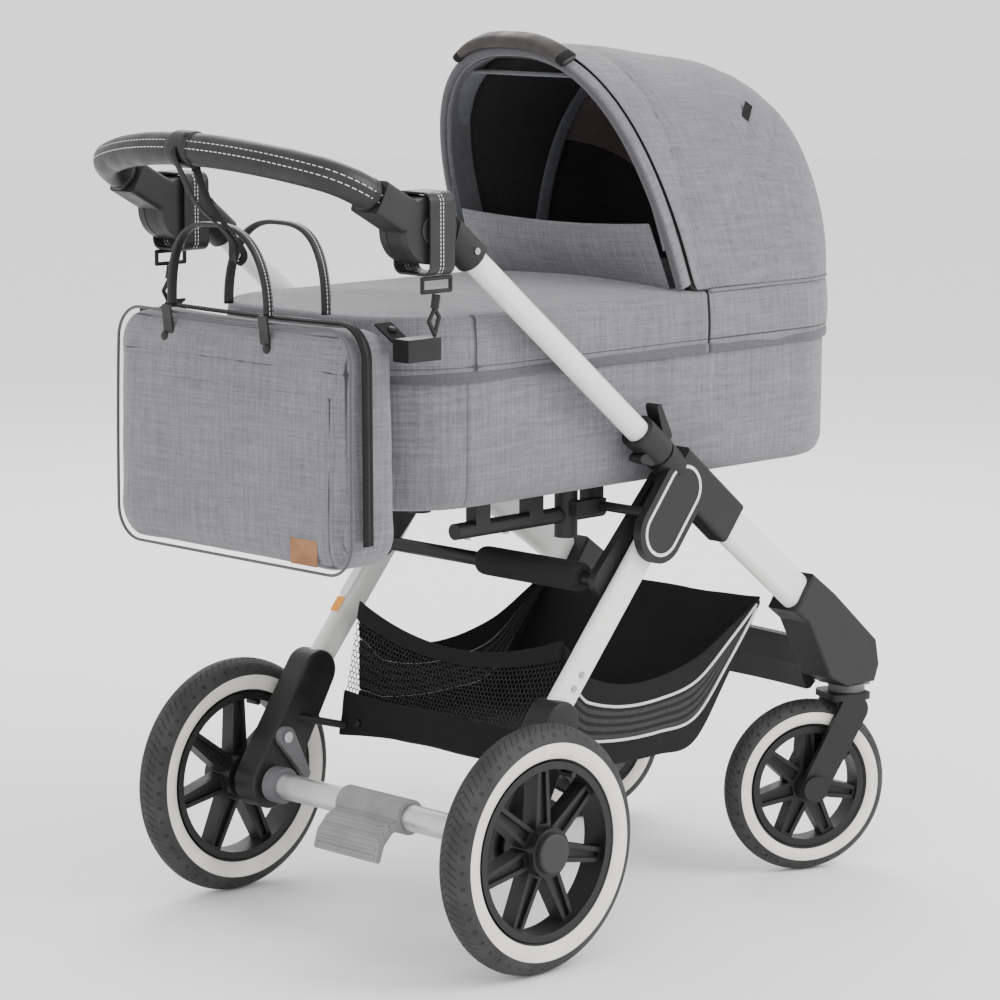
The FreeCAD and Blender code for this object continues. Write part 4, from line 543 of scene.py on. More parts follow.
class Wardrobe:
    """All finishes of the stroller, each made into a material on first use."""

    def __init__(self) -> None:
        """List the finishes by name."""
        self.made: dict[str, bpy.types.Material] = {}
        self.finishes: dict[str, Finish] = {}
        melange = (0.235, 0.236, 0.25)
        deep = (0.088, 0.088, 0.097)
        for finish in (
            Cloth("melange", melange, dark=deep),
            Cloth("melange_edge", (0.105, 0.105, 0.113), dark=(0.06, 0.06, 0.066), slub=0.3),
            Cloth("lining_dark", 0.035, dark=0.018, slub=0.2, stitch=0.03, sheen=0.05),
            Cloth("lining_window", (0.14, 0.112, 0.108), dark=(0.09, 0.074, 0.072), slub=0.3),
            Cloth("lining_grey", (0.15, 0.155, 0.175), dark=(0.085, 0.088, 0.1), slub=0.4),
            Cloth("mattress_cloth", 0.62, dark=0.5, slub=0.2, sheen=0.1),
            Cloth("basket_cloth", 0.009, dark=0.004, slub=0.25, stitch=0.03, sheen=0.04),
            Cloth("webbing", 0.011, dark=0.005, slub=0.15, pitch=0.0016, sheen=0.05),
            Cloth("piping_white", 0.72, dark=0.55, slub=0.1, pitch=0.0012),
            Cloth("tag", 0.008, dark=0.005, slub=0.1, sheen=0.05),
            Leather("leather_bar", 0.01, 0.42, rows=(0.0255, 0.0345), pitch=0.0065),
            Leather("leather_strap", 0.01, 0.45, rows=(0.0178, 0.0222), pitch=0.0045),
            Leather("leather_loop", 0.01, 0.45, rows=(0.0052, 0.0085), row_half=0.0005, pitch=0.004),
            Leather("leather_plain", 0.01, 0.45),
            Leather("leather_warm", (0.035, 0.03, 0.027), 0.5),
            Moulded("tube_white", (0.8, 0.79, 0.77), 0.34, grain=500.0, depth=0.00004, dust=0.02, coat=0.25),
            Moulded("plastic_black", 0.009, 0.5),
            Moulded("plastic_deep", 0.007, 0.45),
            Moulded("plastic_grey", (0.1, 0.1, 0.105), 0.5),
            Moulded("cap_dark", 0.02, 0.45),
            Moulded("trim_bright", (0.72, 0.72, 0.73), 0.28, metal=1.0, depth=0.00004, dust=0.05),
            Moulded("axle_silver", (0.55, 0.55, 0.56), 0.36, metal=1.0, depth=0.00005, dust=0.08),
            Moulded("metal_black", 0.012, 0.4, metal=0.3, depth=0.00005),
            Moulded("screw_steel", (0.35, 0.35, 0.36), 0.3, metal=1.0, depth=0.00003),
            Moulded("foam", 0.012, 0.9, grain=420.0, depth=0.0006),
            Moulded("pedal_grey", (0.2, 0.2, 0.205), 0.55, depth=0.0002),
            Moulded("label_white", (0.75, 0.75, 0.73), 0.5, depth=0.00002, dust=0.03),
            Moulded("label_orange", (0.8, 0.3, 0.03), 0.5, depth=0.00002, dust=0.05),
            Net("net_open", 0.01, 0.8, pitch=0.0062, hole=0.4),
            Ribbed("net_ribbed", 0.02, 0.8),
        ):
            self.finishes[finish.name] = finish

    def get(self, name: str) -> bpy.types.Material:
        """Material of a finish."""
        if name not in self.made:
            self.made[name] = self.finishes[name].make()
        return self.made[name]

    def add(self, finish: Finish) -> str:
        """Add a finish and give back its name."""
        self.finishes[finish.name] = finish
        return finish.name


WARDROBE = Wardrobe()


# --- Mesh helpers ---------------------------------------------------------------------------

def length_of(points: Sequence[Vector]) -> float:
    """Length of a run of points."""
    return sum((b - a).length for a, b in zip(points, points[1:]))


def finish_mesh(bm: bmesh.types.BMesh, name: str, material: str, smooth: bool = True) -> bpy.types.Object:
    """Turn a bmesh into an object with one material.

    Args:
        bm: The mesh, which is freed.
        name: Name of the piece.
        material: Name of its finish.
        smooth: Whether faces are shaded smooth.
    Returns:
        The new object.
    """
    for face in bm.faces:
        face.smooth = smooth
    mesh = bpy.data.meshes.new(name)
    bm.to_mesh(mesh)
    bm.free()
    piece = bpy.data.objects.new(name, mesh)
    bpy.context.scene.collection.objects.link(piece)
    mesh.materials.append(WARDROBE.get(material))
    return piece


def cloth_piece(name: str, material: str, across: int, along: int, place: Place,
                seam: Mark | None = None, close: bool = False) -> bpy.types.Object:
    """Piece made by bending a grid of cloth to its place.

    Args:
        name: Name of the piece.
        material: Name of its finish.
        across: Number of faces along the first direction.
        along: Number of faces along the second direction.
        place: Gives the point in metres for two shares from 0 to 1.
        seam: Gives the distance in metres from the nearest seam.
        close: Whether open ends are filled.
    Returns:
        The new object.
    """
    bm = bmesh.new()
    bmesh.ops.create_grid(bm, x_segments=across, y_segments=along, size=0.5)
    cloth = bm.loops.layers.uv.new("cloth")
    mark = bm.verts.layers.float.new("seam")
    wide = length_of([place(i / 24, 0.5) for i in range(25)])
    tall = length_of([place(0.5, i / 24) for i in range(25)])
    spots = {vert: (vert.co.x + 0.5, vert.co.y + 0.5) for vert in bm.verts}
    for face in bm.faces:
        for loop in face.loops:
            s, t = spots[loop.vert]
            loop[cloth].uv = (s * wide, t * tall)
    for vert, (s, t) in spots.items():
        vert.co = place(s, t)
        vert[mark] = seam(s, t, vert.co) if seam else FAR_SEAM
    bmesh.ops.remove_doubles(bm, verts=bm.verts, dist=2e-5)
    if close:
        bmesh.ops.holes_fill(bm, edges=[edge for edge in bm.edges if edge.is_boundary])
    bmesh.ops.recalc_face_normals(bm, faces=bm.faces)
    return finish_mesh(bm, name, material)


def thicken(piece: bpy.types.Object, thick: float, offset: float = 0.0, rounds: int = 1) -> bpy.types.Object:
    """Give a sheet its thickness in metres and smooth it."""
    wall = piece.modifiers.new("wall", "SOLIDIFY")
    wall.thickness = thick
    wall.offset = offset
    if rounds:
        soften(piece, rounds)
    return piece


def soften(piece: bpy.types.Object, rounds: int = 1) -> bpy.types.Object:
    """Add subdivision to a piece."""
    sub = piece.modifiers.new("soft", "SUBSURF")
    sub.levels = rounds
    sub.render_levels = rounds
    return piece


def bake_modifiers(piece: bpy.types.Object) -> None:
    """Replace a piece's mesh with what its modifiers make of it."""
    bpy.context.view_layer.update()
    held = bpy.context.evaluated_depsgraph_get()
    mesh = bpy.data.meshes.new_from_object(piece.evaluated_get(held))
    piece.modifiers.clear()
    piece.data = mesh


def attach(piece: bpy.types.Object, body: str, slot: str, *nodes: str) -> bpy.types.Object:
    """Let a piece ride on a body, and stand for nodes."""
    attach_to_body(piece, body)
    if nodes:
        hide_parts(*nodes)
    LOG.info("piece %s rides on %s", piece.name, body)
    return piece


def oval(t: float, half_wide: float, half_thick: float, power: float = 2.0) -> tuple[float, float]:
    """Point of a rounded section at a share t of its round."""
    c, s = math.cos(math.tau * t), math.sin(math.tau * t)
    return (half_wide * math.copysign(abs(c) ** (2 / power), c),
            half_thick * math.copysign(abs(s) ** (2 / power), s))


@dataclass
class Sweep:
    """Section carried along a spine. Lengths are in millimetres."""

    spine: Callable[[float], Vector]
    wide: Callable[[float], Vector]
    section: Callable[[float, float], tuple[float, float]]

    def point(self, t: float, s: float) -> Vector:
        """Point in metres at a share t of the section and s of the spine."""
        step = 0.004
        here = self.spine(s)
        along = (self.spine(min(1.0, s + step)) - self.spine(max(0.0, s - step))).normalized()
        wide = self.wide(s)
        wide = (wide - along * wide.dot(along)).normalized()
        rise = along.cross(wide)
        a, b = self.section(t, s)
        return (here + wide * a + rise * b) * 0.001

    def piece(self, name: str, material: str, around: int, along: int) -> bpy.types.Object:
        """Closed piece with filled ends; its cloth runs along the spine."""
        return cloth_piece(name, material, along, around, lambda s, t: self.point(t, s), close=True)


def bent_line(points: Sequence[Vector]) -> Callable[[float], Vector]:
    """Smooth curve through points, by a share of its number of runs."""
    count = len(points) - 1
    axes = [[(index / count, point[axis]) for index, point in enumerate(points)] for axis in range(3)]
    return lambda s: Vector([through(axes[axis], s) for axis in range(3)])


@dataclass
class RoundedPlan:
    """Rounded-rectangle plan, walked from the middle of its front, anticlockwise."""

    rear: float
    front: float
    half: float
    corner: float

    @property
    def parts(self) -> list[float]:
        """Lengths of the eight runs: half front, corner, side, corner, rear, and back again."""
        front = self.half - self.corner
        turn = math.pi / 2 * self.corner
        side = self.front - self.rear - 2 * self.corner
        return [front, turn, side, turn, 2 * front, turn, side, turn, front]

    @property
    def length(self) -> float:
        """Length of the whole plan."""
        return sum(self.parts)

    def at_x(self, x: float) -> float:
        """Distance walked to reach x on the left side."""
        return self.parts[0] + self.parts[1] + self.front - self.corner - x

    def spot(self, walked: float) -> tuple[Vector, Vector]:
        """Point and outward direction after a distance walked."""
        walked = walked % self.length
        flat = self.half - self.corner
        c = self.corner
        runs = self.parts
        starts = [
            (Vector((self.front, 0, 0)), 0.0), (Vector((self.front - c, flat, 0)), 0.0),
            (Vector((self.front - c, self.half, 0)), 90.0), (Vector((self.rear + c, flat, 0)), 90.0),
            (Vector((self.rear, flat, 0)), 180.0), (Vector((self.rear + c, -flat, 0)), 180.0),
            (Vector((self.rear + c, -self.half, 0)), 270.0), (Vector((self.front - c, -flat, 0)), 270.0),
            (Vector((self.front, -flat, 0)), 0.0)]
        for index, run in enumerate(runs):
            if walked <= run or index == len(runs) - 1:
                start, angle = starts[index]
                if index % 2:
                    turn = math.radians(angle + 90 * walked / run)
                    out = Vector((math.cos(turn), math.sin(turn), 0))
                    return start + out * c, out
                out = Vector((math.cos(math.radians(angle)), math.sin(math.radians(angle)), 0))
                return start + Vector((-out.y, out.x, 0)) * walked, out
            walked -= run
        return starts[0][0], Vector((1, 0, 0))


def studs(name: str, material: str, spots: Iterable[tuple[Vector, Vector]], radius: float,
          height: float) -> bpy.types.Object:
    """Low round studs at spots with their directions, as one piece. Lengths in metres."""
    bm = bmesh.new()
    for spot, out in spots:
        turn = out.to_track_quat("Z", "Y").to_matrix().to_4x4()
        made = bmesh.ops.create_cone(bm, cap_ends=True, segments=24, radius1=radius, radius2=radius * 0.8,
                                     depth=height, matrix=Matrix.Translation(spot) @ turn)
        rim = [edge for edge in {e for v in made["verts"] for e in v.link_edges}
               if all((v.co - spot).dot(out) > 0 for v in edge.verts)]
        bmesh.ops.bevel(bm, geom=rim, offset=height * 0.35, segments=3, profile=0.5, affect="EDGES",
                        material=-1)
    bmesh.ops.recalc_face_normals(bm, faces=bm.faces)
    return finish_mesh(bm, name, material)


def plate(name: str, material: str, centre: Vector, wide: Vector, tall: Vector, thick: float,
          corner: float = 0.002) -> bpy.types.Object:
    """Thin flat patch with rounded corners, spanned by two full side vectors in metres."""
    out = wide.cross(tall).normalized()
    turn = Matrix((wide, tall, out * thick)).transposed().to_4x4()
    bm = bmesh.new()
    bmesh.ops.create_cube(bm, size=1.0, matrix=Matrix.Translation(centre) @ turn)
    upright = [e for e in bm.edges if abs((e.verts[0].co - e.verts[1].co).normalized().dot(out)) > 0.9]
    bmesh.ops.bevel(bm, geom=upright, offset=corner, segments=4, profile=0.5, affect="EDGES", material=-1)
    rims = [e for e in bm.edges if abs((e.verts[0].co - e.verts[1].co).normalized().dot(out)) < 0.1
            and len(e.link_faces) == 2 and e.calc_face_angle(0) > 1.0]
    bmesh.ops.bevel(bm, geom=rims, offset=thick * 0.25, segments=2, profile=0.5, affect="EDGES", material=-1)
    cloth = bm.loops.layers.uv.new("cloth")
    mark = bm.verts.layers.float.new("seam")
    for vert in bm.verts:
        vert[mark] = FAR_SEAM
    for face in bm.faces:
        for loop in face.loops:
            away = loop.vert.co - centre
            loop[cloth].uv = (away.dot(wide.normalized()), away.dot(tall.normalized()))
    bmesh.ops.recalc_face_normals(bm, faces=bm.faces)
    return finish_mesh(bm, name, material, smooth=False)


@dataclass
class Padding:
    """Cloth simulation that puffs a closed piece up a little."""

    voxel: float = 0.006
    pressure: float = 4.0
    frames: int = 20
    cap: float = 0.008

    def apply(self, piece: bpy.types.Object) -> None:
        """Remesh a piece evenly, let air swell it, and cap how far a point moves."""
        remesh = piece.modifiers.new("even", "REMESH")
        remesh.mode = "VOXEL"
        remesh.voxel_size = self.voxel
        bake_modifiers(piece)
        rest = [vert.co.copy() for vert in piece.data.vertices]
        cloth = piece.modifiers.new("puff", "CLOTH")
        cloth.settings.use_pressure = True
        cloth.settings.uniform_pressure_force = self.pressure
        cloth.settings.effector_weights.gravity = 0.0
        cloth.settings.quality = 4
        cloth.collision_settings.use_collision = False
        cloth.point_cache.frame_start = 1
        cloth.point_cache.frame_end = self.frames
        for number in range(1, self.frames + 1):
            bpy.context.scene.frame_set(number)
        bake_modifiers(piece)
        bpy.context.scene.frame_set(1)
        for vert, start in zip(piece.data.vertices, rest):
            move = vert.co - start
            if move.length > self.cap:
                vert.co = start + move.normalized() * self.cap


def wrap_marks(piece: bpy.types.Object, seam: Callable[[Vector, Vector], float]) -> None:
    """Lay cloth coordinates over a remeshed piece and mark its seams.

    Args:
        piece: The piece, with a plain mesh.
        seam: Gives the distance in metres from the nearest seam, from a point and its normal.
    """
    bm = bmesh.new()
    bm.from_mesh(piece.data)
    bm.normal_update()
    cloth = bm.loops.layers.uv.get("cloth") or bm.loops.layers.uv.new("cloth")
    mark = bm.verts.layers.float.get("seam") or bm.verts.layers.float.new("seam")
    for vert in bm.verts:
        vert[mark] = seam(vert.co, vert.normal)
    for face in bm.faces:
        face.smooth = True
        flat = [abs(part) for part in face.normal]
        axis = flat.index(max(flat))
        for loop in face.loops:
            co = loop.vert.co
            loop[cloth].uv = ((co.y, co.z), (co.x, co.z), (co.y, co.x))[axis]
    bm.to_mesh(piece.data)
    bm.free()


# --- Cot ------------------------------------------------------------------------------------

@dataclass
class Cot:
    """Carrycot: padded tub, mattress, apron, wind flap and their bindings."""

    rear: float = -325.0
    front: float = 483.0
    half: float = 189.5
    corner: float = 120.0
    bottom: float = 546.5
    top: float = 771.5
    wall: float = 12.0
    floor: float = 14.0
    skirt_low: float = 702.0
    apron_edge: float = 185.0
    side_seam: float = -222.0
    mattress_high: float = 40.0
    flap_top: float = 862.0
    flap_half: float = 170.0

    def plan(self, grow: float = 0.0) -> RoundedPlan:
        """Plan of the cot, grown outwards."""
        return RoundedPlan(self.rear - grow, self.front + grow, self.half + grow, self.corner + grow)

    def tub(self) -> bpy.types.Object:
        """Padded tub with an open top, as one closed form."""
        profile = [(60, self.bottom), (24, self.bottom), (9, self.bottom + 5), (2, self.bottom + 17),
                   (0, self.bottom + 32), (-0.8, self.bottom + 90), (-0.6, self.top - 60),
                   (0.3, self.top - 8), (3, self.top - 1.5), (6, self.top), (9, self.top - 1.5),
                   (self.wall, self.top - 8), (self.wall, self.bottom + 60),
                   (self.wall, self.bottom + self.floor + 4), (30, self.bottom + self.floor),
                   (60, self.bottom + self.floor)]
        count = len(profile) - 1
        insets = [(i / count, row[0]) for i, row in enumerate(profile)]
        heights = [(i / count, row[1]) for i, row in enumerate(profile)]
        plan = self.plan()

        def place(s: float, t: float) -> Vector:
            """Point on the tub."""
            inset, z = through(insets, t), through(heights, t)
            spot, out = plan.spot(s * plan.length)
            flat = spot - out * inset
            wave = ripple(mm(flat.x, flat.y, z), 130, 1.0) if 0.25 < t < 0.55 and z < 700 else 0.0
            return mm(flat.x + out.x * wave, flat.y + out.y * wave, z)

        turn = plan.at_x(self.rear + self.corner)
        places = [plan.at_x(self.side_seam), plan.length - plan.at_x(self.side_seam), 0.0,
                  turn + 60, plan.length - turn - 60]

        def seam(s: float, t: float, spot: Vector) -> float:
            """Distance from the upright double seams."""
            walked = s * plan.length
            if t > 0.55:
                return FAR_SEAM
            gaps = []
            for centre in places:
                gap = abs((walked - centre + plan.length / 2) % plan.length - plan.length / 2)
                gaps.append(abs(gap - 3.5))
            return min(gaps) * 0.001

        piece = cloth_piece("cot_body", "melange", 220, 44, place, seam, close=True)
        return attach(piece, "cot", "melange", "cot_tub")

    def mattress(self) -> bpy.types.Object:
        """Crowned mattress with a piped edge."""
        inset = self.wall + 2.2
        low = self.bottom + self.floor + 0.4
        plan = self.plan(-inset)
        centre = Vector(((self.rear + self.front) / 2, 0, 0))

        def place(s: float, t: float) -> Vector:
            """Point on the mattress."""
            spot, out = plan.spot(s * plan.length)
            if t < 0.25:
                share = t / 0.25
                flat = centre + (spot - centre) * (0.2 + 0.8 * share)
                return mm(flat.x, flat.y, low)
            if t < 0.6:
                angle = (t - 0.25) / 0.35 * math.pi
                flat = spot - out * (6 - 6 * math.sin(angle))
                rise = (self.mattress_high - 6) * (1 - math.cos(angle)) / 2
                return mm(flat.x, flat.y, low + rise)
            share = 1 - (t - 0.6) / 0.4
            flat = centre + (spot - out * 6 - centre) * (0.02 + 0.98 * share)
            crown = 6 * (1 - share ** 2)
            quilt = 0.8 * math.sin(flat.x / 14) * math.sin(flat.y / 14) * (1 - share ** 6)
            return mm(flat.x, flat.y, low + self.mattress_high - 6 + crown + quilt)

        piece = cloth_piece("mattress_pad", "mattress_cloth", 150, 60, place, close=True)
        return attach(piece, "cot", "mattress_cloth", "cot_mattress")

    def apron(self) -> list[bpy.types.Object]:
        """Apron: crowned top sheet with a skirt round the foot half of the cot, and its binding."""
        plan = self.plan(3.0)
        start = plan.at_x(self.apron_edge)
        run = plan.length - 2 * start
        top = self.top + 4.5
        rear = self.rear + 170.0

        def place(s: float, t: float) -> Vector:
            """Point on the apron, from its lower edge over the top to the middle line."""
            spot, out = plan.spot(start + run * s)
            if t < 0.34:
                share = t / 0.34
                z = self.skirt_low + (top - 8 - self.skirt_low) * share
                puff = 2.2 * math.sin(math.pi * share) + ripple(mm(spot.x, spot.y, z), 90, 1.6)
                puff += 1.2 * ripple(mm(spot.x, spot.y, 0), 45, 1.0) * (1 - share)
                return mm(spot.x + out.x * puff, spot.y + out.y * puff, z)
            if t < 0.42:
                turn = (t - 0.34) / 0.08 * math.pi / 2
                lean = 8 * (1 - math.cos(turn))
                return mm(spot.x - out.x * lean, spot.y - out.y * lean, top - 8 + 8 * math.sin(turn))
            share = 1 - (t - 0.42) / 0.58
            edge = spot - out * 8
            along = min(self.apron_edge - 32, edge.x)
            middle = Vector((max(rear, along), 0, 0))
            flat = middle + (Vector((edge.x, edge.y, 0)) - middle) * share
            flat.x = min(flat.x, self.apron_edge - 34 + 34 * share ** 8)
            crown = 9 * (1 - share ** 2) * ease(self.rear, self.rear + 200, flat.x + 60)
            wave = ripple(mm(flat.x, flat.y, 0), 120, 1.5) * (1 - share ** 4)
            return mm(flat.x, flat.y, top + crown + wave)

        def seam(s: float, t: float, spot: Vector) -> float:
            """Distance from the edge seams and the upright seams."""
            gaps = [abs(spot.z * 1000 - (self.skirt_low + 14))]
            if t < 0.42:
                for x in (self.side_seam, self.side_seam + 7.0):
                    gaps.append(abs(spot.x * 1000 - x) if abs(spot.y) > 0.17 else 1000.0)
            return min(gaps) * 0.001

        sheet = thicken(cloth_piece("apron_sheet", "melange", 150, 66, place, seam), 0.002)
        attach(sheet, "cot", "melange", "cot_apron")

        def low_spine(s: float) -> Vector:
            """Lower edge of the skirt."""
            spot, out = plan.spot(start + run * s)
            grow = out * (0.8 + 1.2 * ripple(mm(spot.x, spot.y, 0), 45, 1.0))
            return Vector((spot.x + grow.x, spot.y + grow.y, self.skirt_low + 3))

        edge = Sweep(low_spine, lambda s: Vector((0, 0, 1)), lambda t, s: oval(t, 6.5, 2.0, 2.6))
        binding = edge.piece("apron_binding", "melange_edge", 10, 180)
        attach(binding, "cot", "melange")
        return [sheet, binding]

    def flap(self, hood: "Hood") -> bpy.types.Object:
        """Wind flap standing at the hood opening, bowed towards the handle."""
        low = self.top + 5

        def place(s: float, t: float) -> Vector:
            """Point on the flap."""
            y = self.flap_half * (1 - 2 * s)
            side = abs(1 - 2 * s)
            high = self.flap_top - 7 * (1 - side ** 2)
            z = low + (high - low) * t
            back = (z - hood.pivot_z) * math.tan(math.radians(hood.lean))
            bulge = 9 * math.sin(math.pi * t) * (1 - side ** 3)
            x = hood.base_x - 21 - back - bulge + 10 * (1 - t) * (1 - side ** 2)
            x += ripple(mm(0, y, z), 80, 2.0) * (1 - side ** 2)
            narrow = 1 - 0.02 * t - 0.012 * t * t
            return mm(x, y * narrow, z)

        def seam(s: float, t: float, spot: Vector) -> float:
            """Distance from the hem seam."""
            return abs(t - 0.93) * 0.085

        piece = thicken(cloth_piece("wind_flap_sheet", "melange", 60, 20, place, seam), 0.0035)
        return attach(piece, "cot", "melange", "wind_flap")

    def build(self, hood: "Hood") -> None:
        """Make every piece of the cot."""
        self.tub()
        self.mattress()
        self.apron()
        self.flap(hood)


# --- Hood -----------------------------------------------------------------------------------

@dataclass
class Hood:
    """Hood: padded bow, canopy, lining, skirt, handle and trimmings."""

    pivot_x: float = 170.0
    pivot_z: float = 786.0
    base_x: float = 159.0
    lean: float = 21.3
    height: float = 314.0
    half: float = 189.0
    power: float = 2.55
    canopy_half: float = 193.0
    base: float = 777.0
    skirt_x: float = 187.5
    end_x: float = 493.0
    roof: tuple[tuple[float, float], ...] = ((-30, 1086), (60, 1080), (215, 1069), (300, 1057), (350, 1042),
                                             (390, 1020), (418, 991), (440, 946), (460, 893), (480, 838),
                                             (494, 800))
    shares: tuple[tuple[float, float], ...] = ((350, 1.0), (390, 0.985), (418, 0.934), (440, 0.863),
                                               (460, 0.761), (480, 0.61), (494, 0.47))
    fans: tuple[float, ...] = (100.5, 56.0, 45.0)
    handle_half: float = 95.0
    handle_thick: float = 17.0
    handle_wide: float = 26.0
    tag_reach: float = 238.0

    @property
    def up(self) -> Vector:
        """Direction up the bow's plane."""
        turn = math.radians(self.lean)
        return Vector((-math.sin(turn), 0, math.cos(turn)))

    @property
    def back(self) -> Vector:
        """Direction square to the bow's plane, towards the handle."""
        turn = math.radians(self.lean)
        return Vector((-math.cos(turn), 0, -math.sin(turn)))

    def bow_point(self, y: float, t: float, off: float = 0.0) -> Vector:
        """Point t up the bow's plane, set back by off."""
        return Vector((self.base_x, y, self.pivot_z)) + self.up * t + self.back * off

    def arch(self, angle: float, half: float, height: float) -> tuple[float, float]:
        """Across and up on the rounded arch at an angle."""
        c, s = math.cos(angle), max(0.0, math.sin(angle))
        return (half * math.copysign(abs(c) ** (2 / self.power), c), height * s ** (2 / self.power))

    def even_angle(self, s: float) -> float:
        """Angle of the arch for an even share s of its length."""
        return math.pi * (s + 0.055 * math.sin(4 * math.pi * s))

    def shell_point(self, x: float, angle: float, inset: float = 0.0) -> Vector:
        """Point of the canopy at x and an arch angle."""
        share = through(self.shares, x)
        top = through(self.roof, x)
        y, rise = self.arch(angle, (self.canopy_half - inset) * share, top - self.base - inset)
        return Vector((x, y, self.base + rise))

    def front_x(self, angle: float, inset: float = 0.0) -> float:
        """Where the canopy meets the bow's plane at an arch angle."""
        x = self.base_x
        for _ in range(12):
            spot = self.shell_point(x, angle, inset)
            gap = (spot - self.bow_point(0, 0, -1.2)).dot(self.back)
            x += gap * 0.9
        return x

    def canopy_place(self, s: float, t: float, inset: float = 0.0) -> Vector:
        """Point of the canopy in metres."""
        angle = self.even_angle(s)
        start = self.front_x(angle, inset)
        share = 1 - (1 - t) ** 1.7
        x = start + (self.end_x - inset - start) * share
        spot = self.shell_point(x, angle, inset)
        drop = 1 - ease(0.965, 1.0, t)
        spot.z = self.base + (spot.z - self.base) * drop
        side = 1 - abs(1 - 2 * s)
        sag = -5.0 * math.exp(-((x - 235) / 90) ** 2) * ease(0.45, 0.95, side)
        wave = ripple(mm(spot.x, spot.y, spot.z), 120, 3.2) * ease(0, 0.12, t) * drop
        centre = Vector((x, 0, self.base + 60))
        out = (spot - centre).normalized()
        puff = self.seam_puff(spot)
        return (spot + out * (sag + wave * 0.7 - puff)) * 0.001

    def fan_gap(self, spot: Vector, index: int) -> float:
        """Distance of a spot in millimetres from one seam plane through the pivot."""
        away = Vector((spot.x - self.pivot_x, 0, spot.z - self.pivot_z))
        angle = math.atan2(away.z, away.x) - math.radians(self.fans[index])
        return abs(math.sin(angle)) * away.length if abs(angle) < 1.2 else 400.0

    def seam_puff(self, spot: Vector) -> float:
        """Depth of the fabric's dip at the seams."""
        dip = 0.0
        for index, depth in enumerate((3.2, 1.6, 1.0)):
            dip += depth * math.exp(-(self.fan_gap(spot, index) / 9) ** 2)
        return dip

    def canopy(self) -> bpy.types.Object:
        """Canopy as one continuous curved sheet between the bow and the cot."""
        def seam(s: float, t: float, spot: Vector) -> float:
            """Distance from the fan seams."""
            return min(self.fan_gap(spot * 1000, index) for index in range(len(self.fans))) * 0.001

        piece = cloth_piece("canopy_sheet", "melange", 150, 90, self.canopy_place, seam)
        thicken(piece, 0.0022, 0.0)
        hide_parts("hood_canopy")
        self.bend(piece)
        return piece

    def bend(self, piece: bpy.types.Object) -> None:
        """Bake a hood fabric's placement into its mesh and log it."""
        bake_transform(piece)
        LOG.info("piece %s bends between hood and cot", piece.name)

    def lining(self) -> None:
        """Dark lining inside the canopy, with a lighter panel and its inner ribs."""
        def place(s: float, t: float) -> Vector:
            """Point on the lining."""
            return self.canopy_place(s, t, 6.5)

        piece = thicken(cloth_piece("canopy_lining", "lining_dark", 90, 50, place), 0.0012)
        self.bend(piece)
        def window(s: float, t: float) -> Vector:
            """Point on the lighter panel behind the rib."""
            return self.canopy_place(0.12 + 0.76 * s, 0.34 + 0.56 * t, 8.5)

        panel = thicken(cloth_piece("canopy_panel", "lining_window", 80, 40, window), 0.0008)
        self.bend(panel)
        for name, x, wide, material in (("canopy_rib", 262.0, 11.0, "lining_grey"),
                                        ("canopy_inner_band", 150.0, 16.0, "lining_grey")):
            def spine(s: float, x: float = x) -> Vector:
                """Arch of the rib inside the lining."""
                spot = self.shell_point(x, math.pi * (0.04 + 0.92 * s), 13.0)
                spot.x += (spot.z - self.base) * (0.12 if x > 200 else -0.3)
                spot.z = min(spot.z, 1040)
                return spot

            rib = Sweep(spine, lambda s: Vector((1, 0, 0)), lambda t, s, wide=wide: oval(t, wide, 2.4, 2.8))
            made = rib.piece(name, material, 12, 90)
            self.bend(made)

    def skirt(self, cot: Cot) -> None:
        """Skirt of the hood round the head end of the cot, with piping and a binding."""
        plan = cot.plan(3.2)
        reach = plan.at_x(self.skirt_x)

        def walk(s: float) -> float:
            """Distance walked on the plan."""
            return -reach + 2 * reach * s

        def place(s: float, t: float) -> Vector:
            """Point on the skirt."""
            spot, out = plan.spot(walk(s))
            z = cot.skirt_low + (self.base + 3 - cot.skirt_low) * t
            puff = 3.0 * math.sin(math.pi * min(1.0, t * 1.1)) + ripple(mm(spot.x, spot.y, z), 70, 2.0)
            tuck = 9 * ease(0.86, 1.0, t) ** 2
            grow = out * (puff - tuck)
            return mm(spot.x + grow.x, spot.y + grow.y, z)

        def seam(s: float, t: float, spot: Vector) -> float:
            """Distance from the skirt's seams."""
            return abs(spot.z * 1000 - (cot.skirt_low + 14)) * 0.001

        sheet = thicken(cloth_piece("hood_skirt", "melange", 150, 22, place, seam), 0.002)
        attach(sheet, "cot", "melange")

        def low(s: float) -> Vector:
            """Lower edge of the skirt."""
            spot, out = plan.spot(walk(s))
            return Vector((spot.x + out.x * 0.8, spot.y + out.y * 0.8, cot.skirt_low + 3))

        def high(s: float) -> Vector:
            """Line where the canopy meets the skirt."""
            spot, out = plan.spot(walk(s))
            return Vector((spot.x + out.x * 0.6, spot.y + out.y * 0.6, self.base - 1))

        edge = Sweep(low, lambda s: Vector((0, 0, 1)), lambda t, s: oval(t, 6.5, 2.0, 2.6))
        attach(edge.piece("hood_skirt_binding", "melange_edge", 10, 140), "cot", "melange")
        cord = Sweep(high, lambda s: Vector((0, 0, 1)), lambda t, s: oval(t, 2.0, 2.0))
        attach(cord.piece("hood_skirt_piping", "melange", 8, 140), "cot", "melange")

        def gusset(s: float, t: float) -> Vector:
            """Inner side wall that fills the gap under the hood."""
            spot, out = plan.spot(walk(s))
            flat = spot - out * 13
            return mm(flat.x, flat.y, self.base - 2 + 52 * t * ease(0, 0.16, 0.5 - abs(s - 0.5)))

        inner = thicken(cloth_piece("hood_gusset", "lining_dark", 90, 8, gusset), 0.0012)
        attach(inner, "cot", "black_fabric")

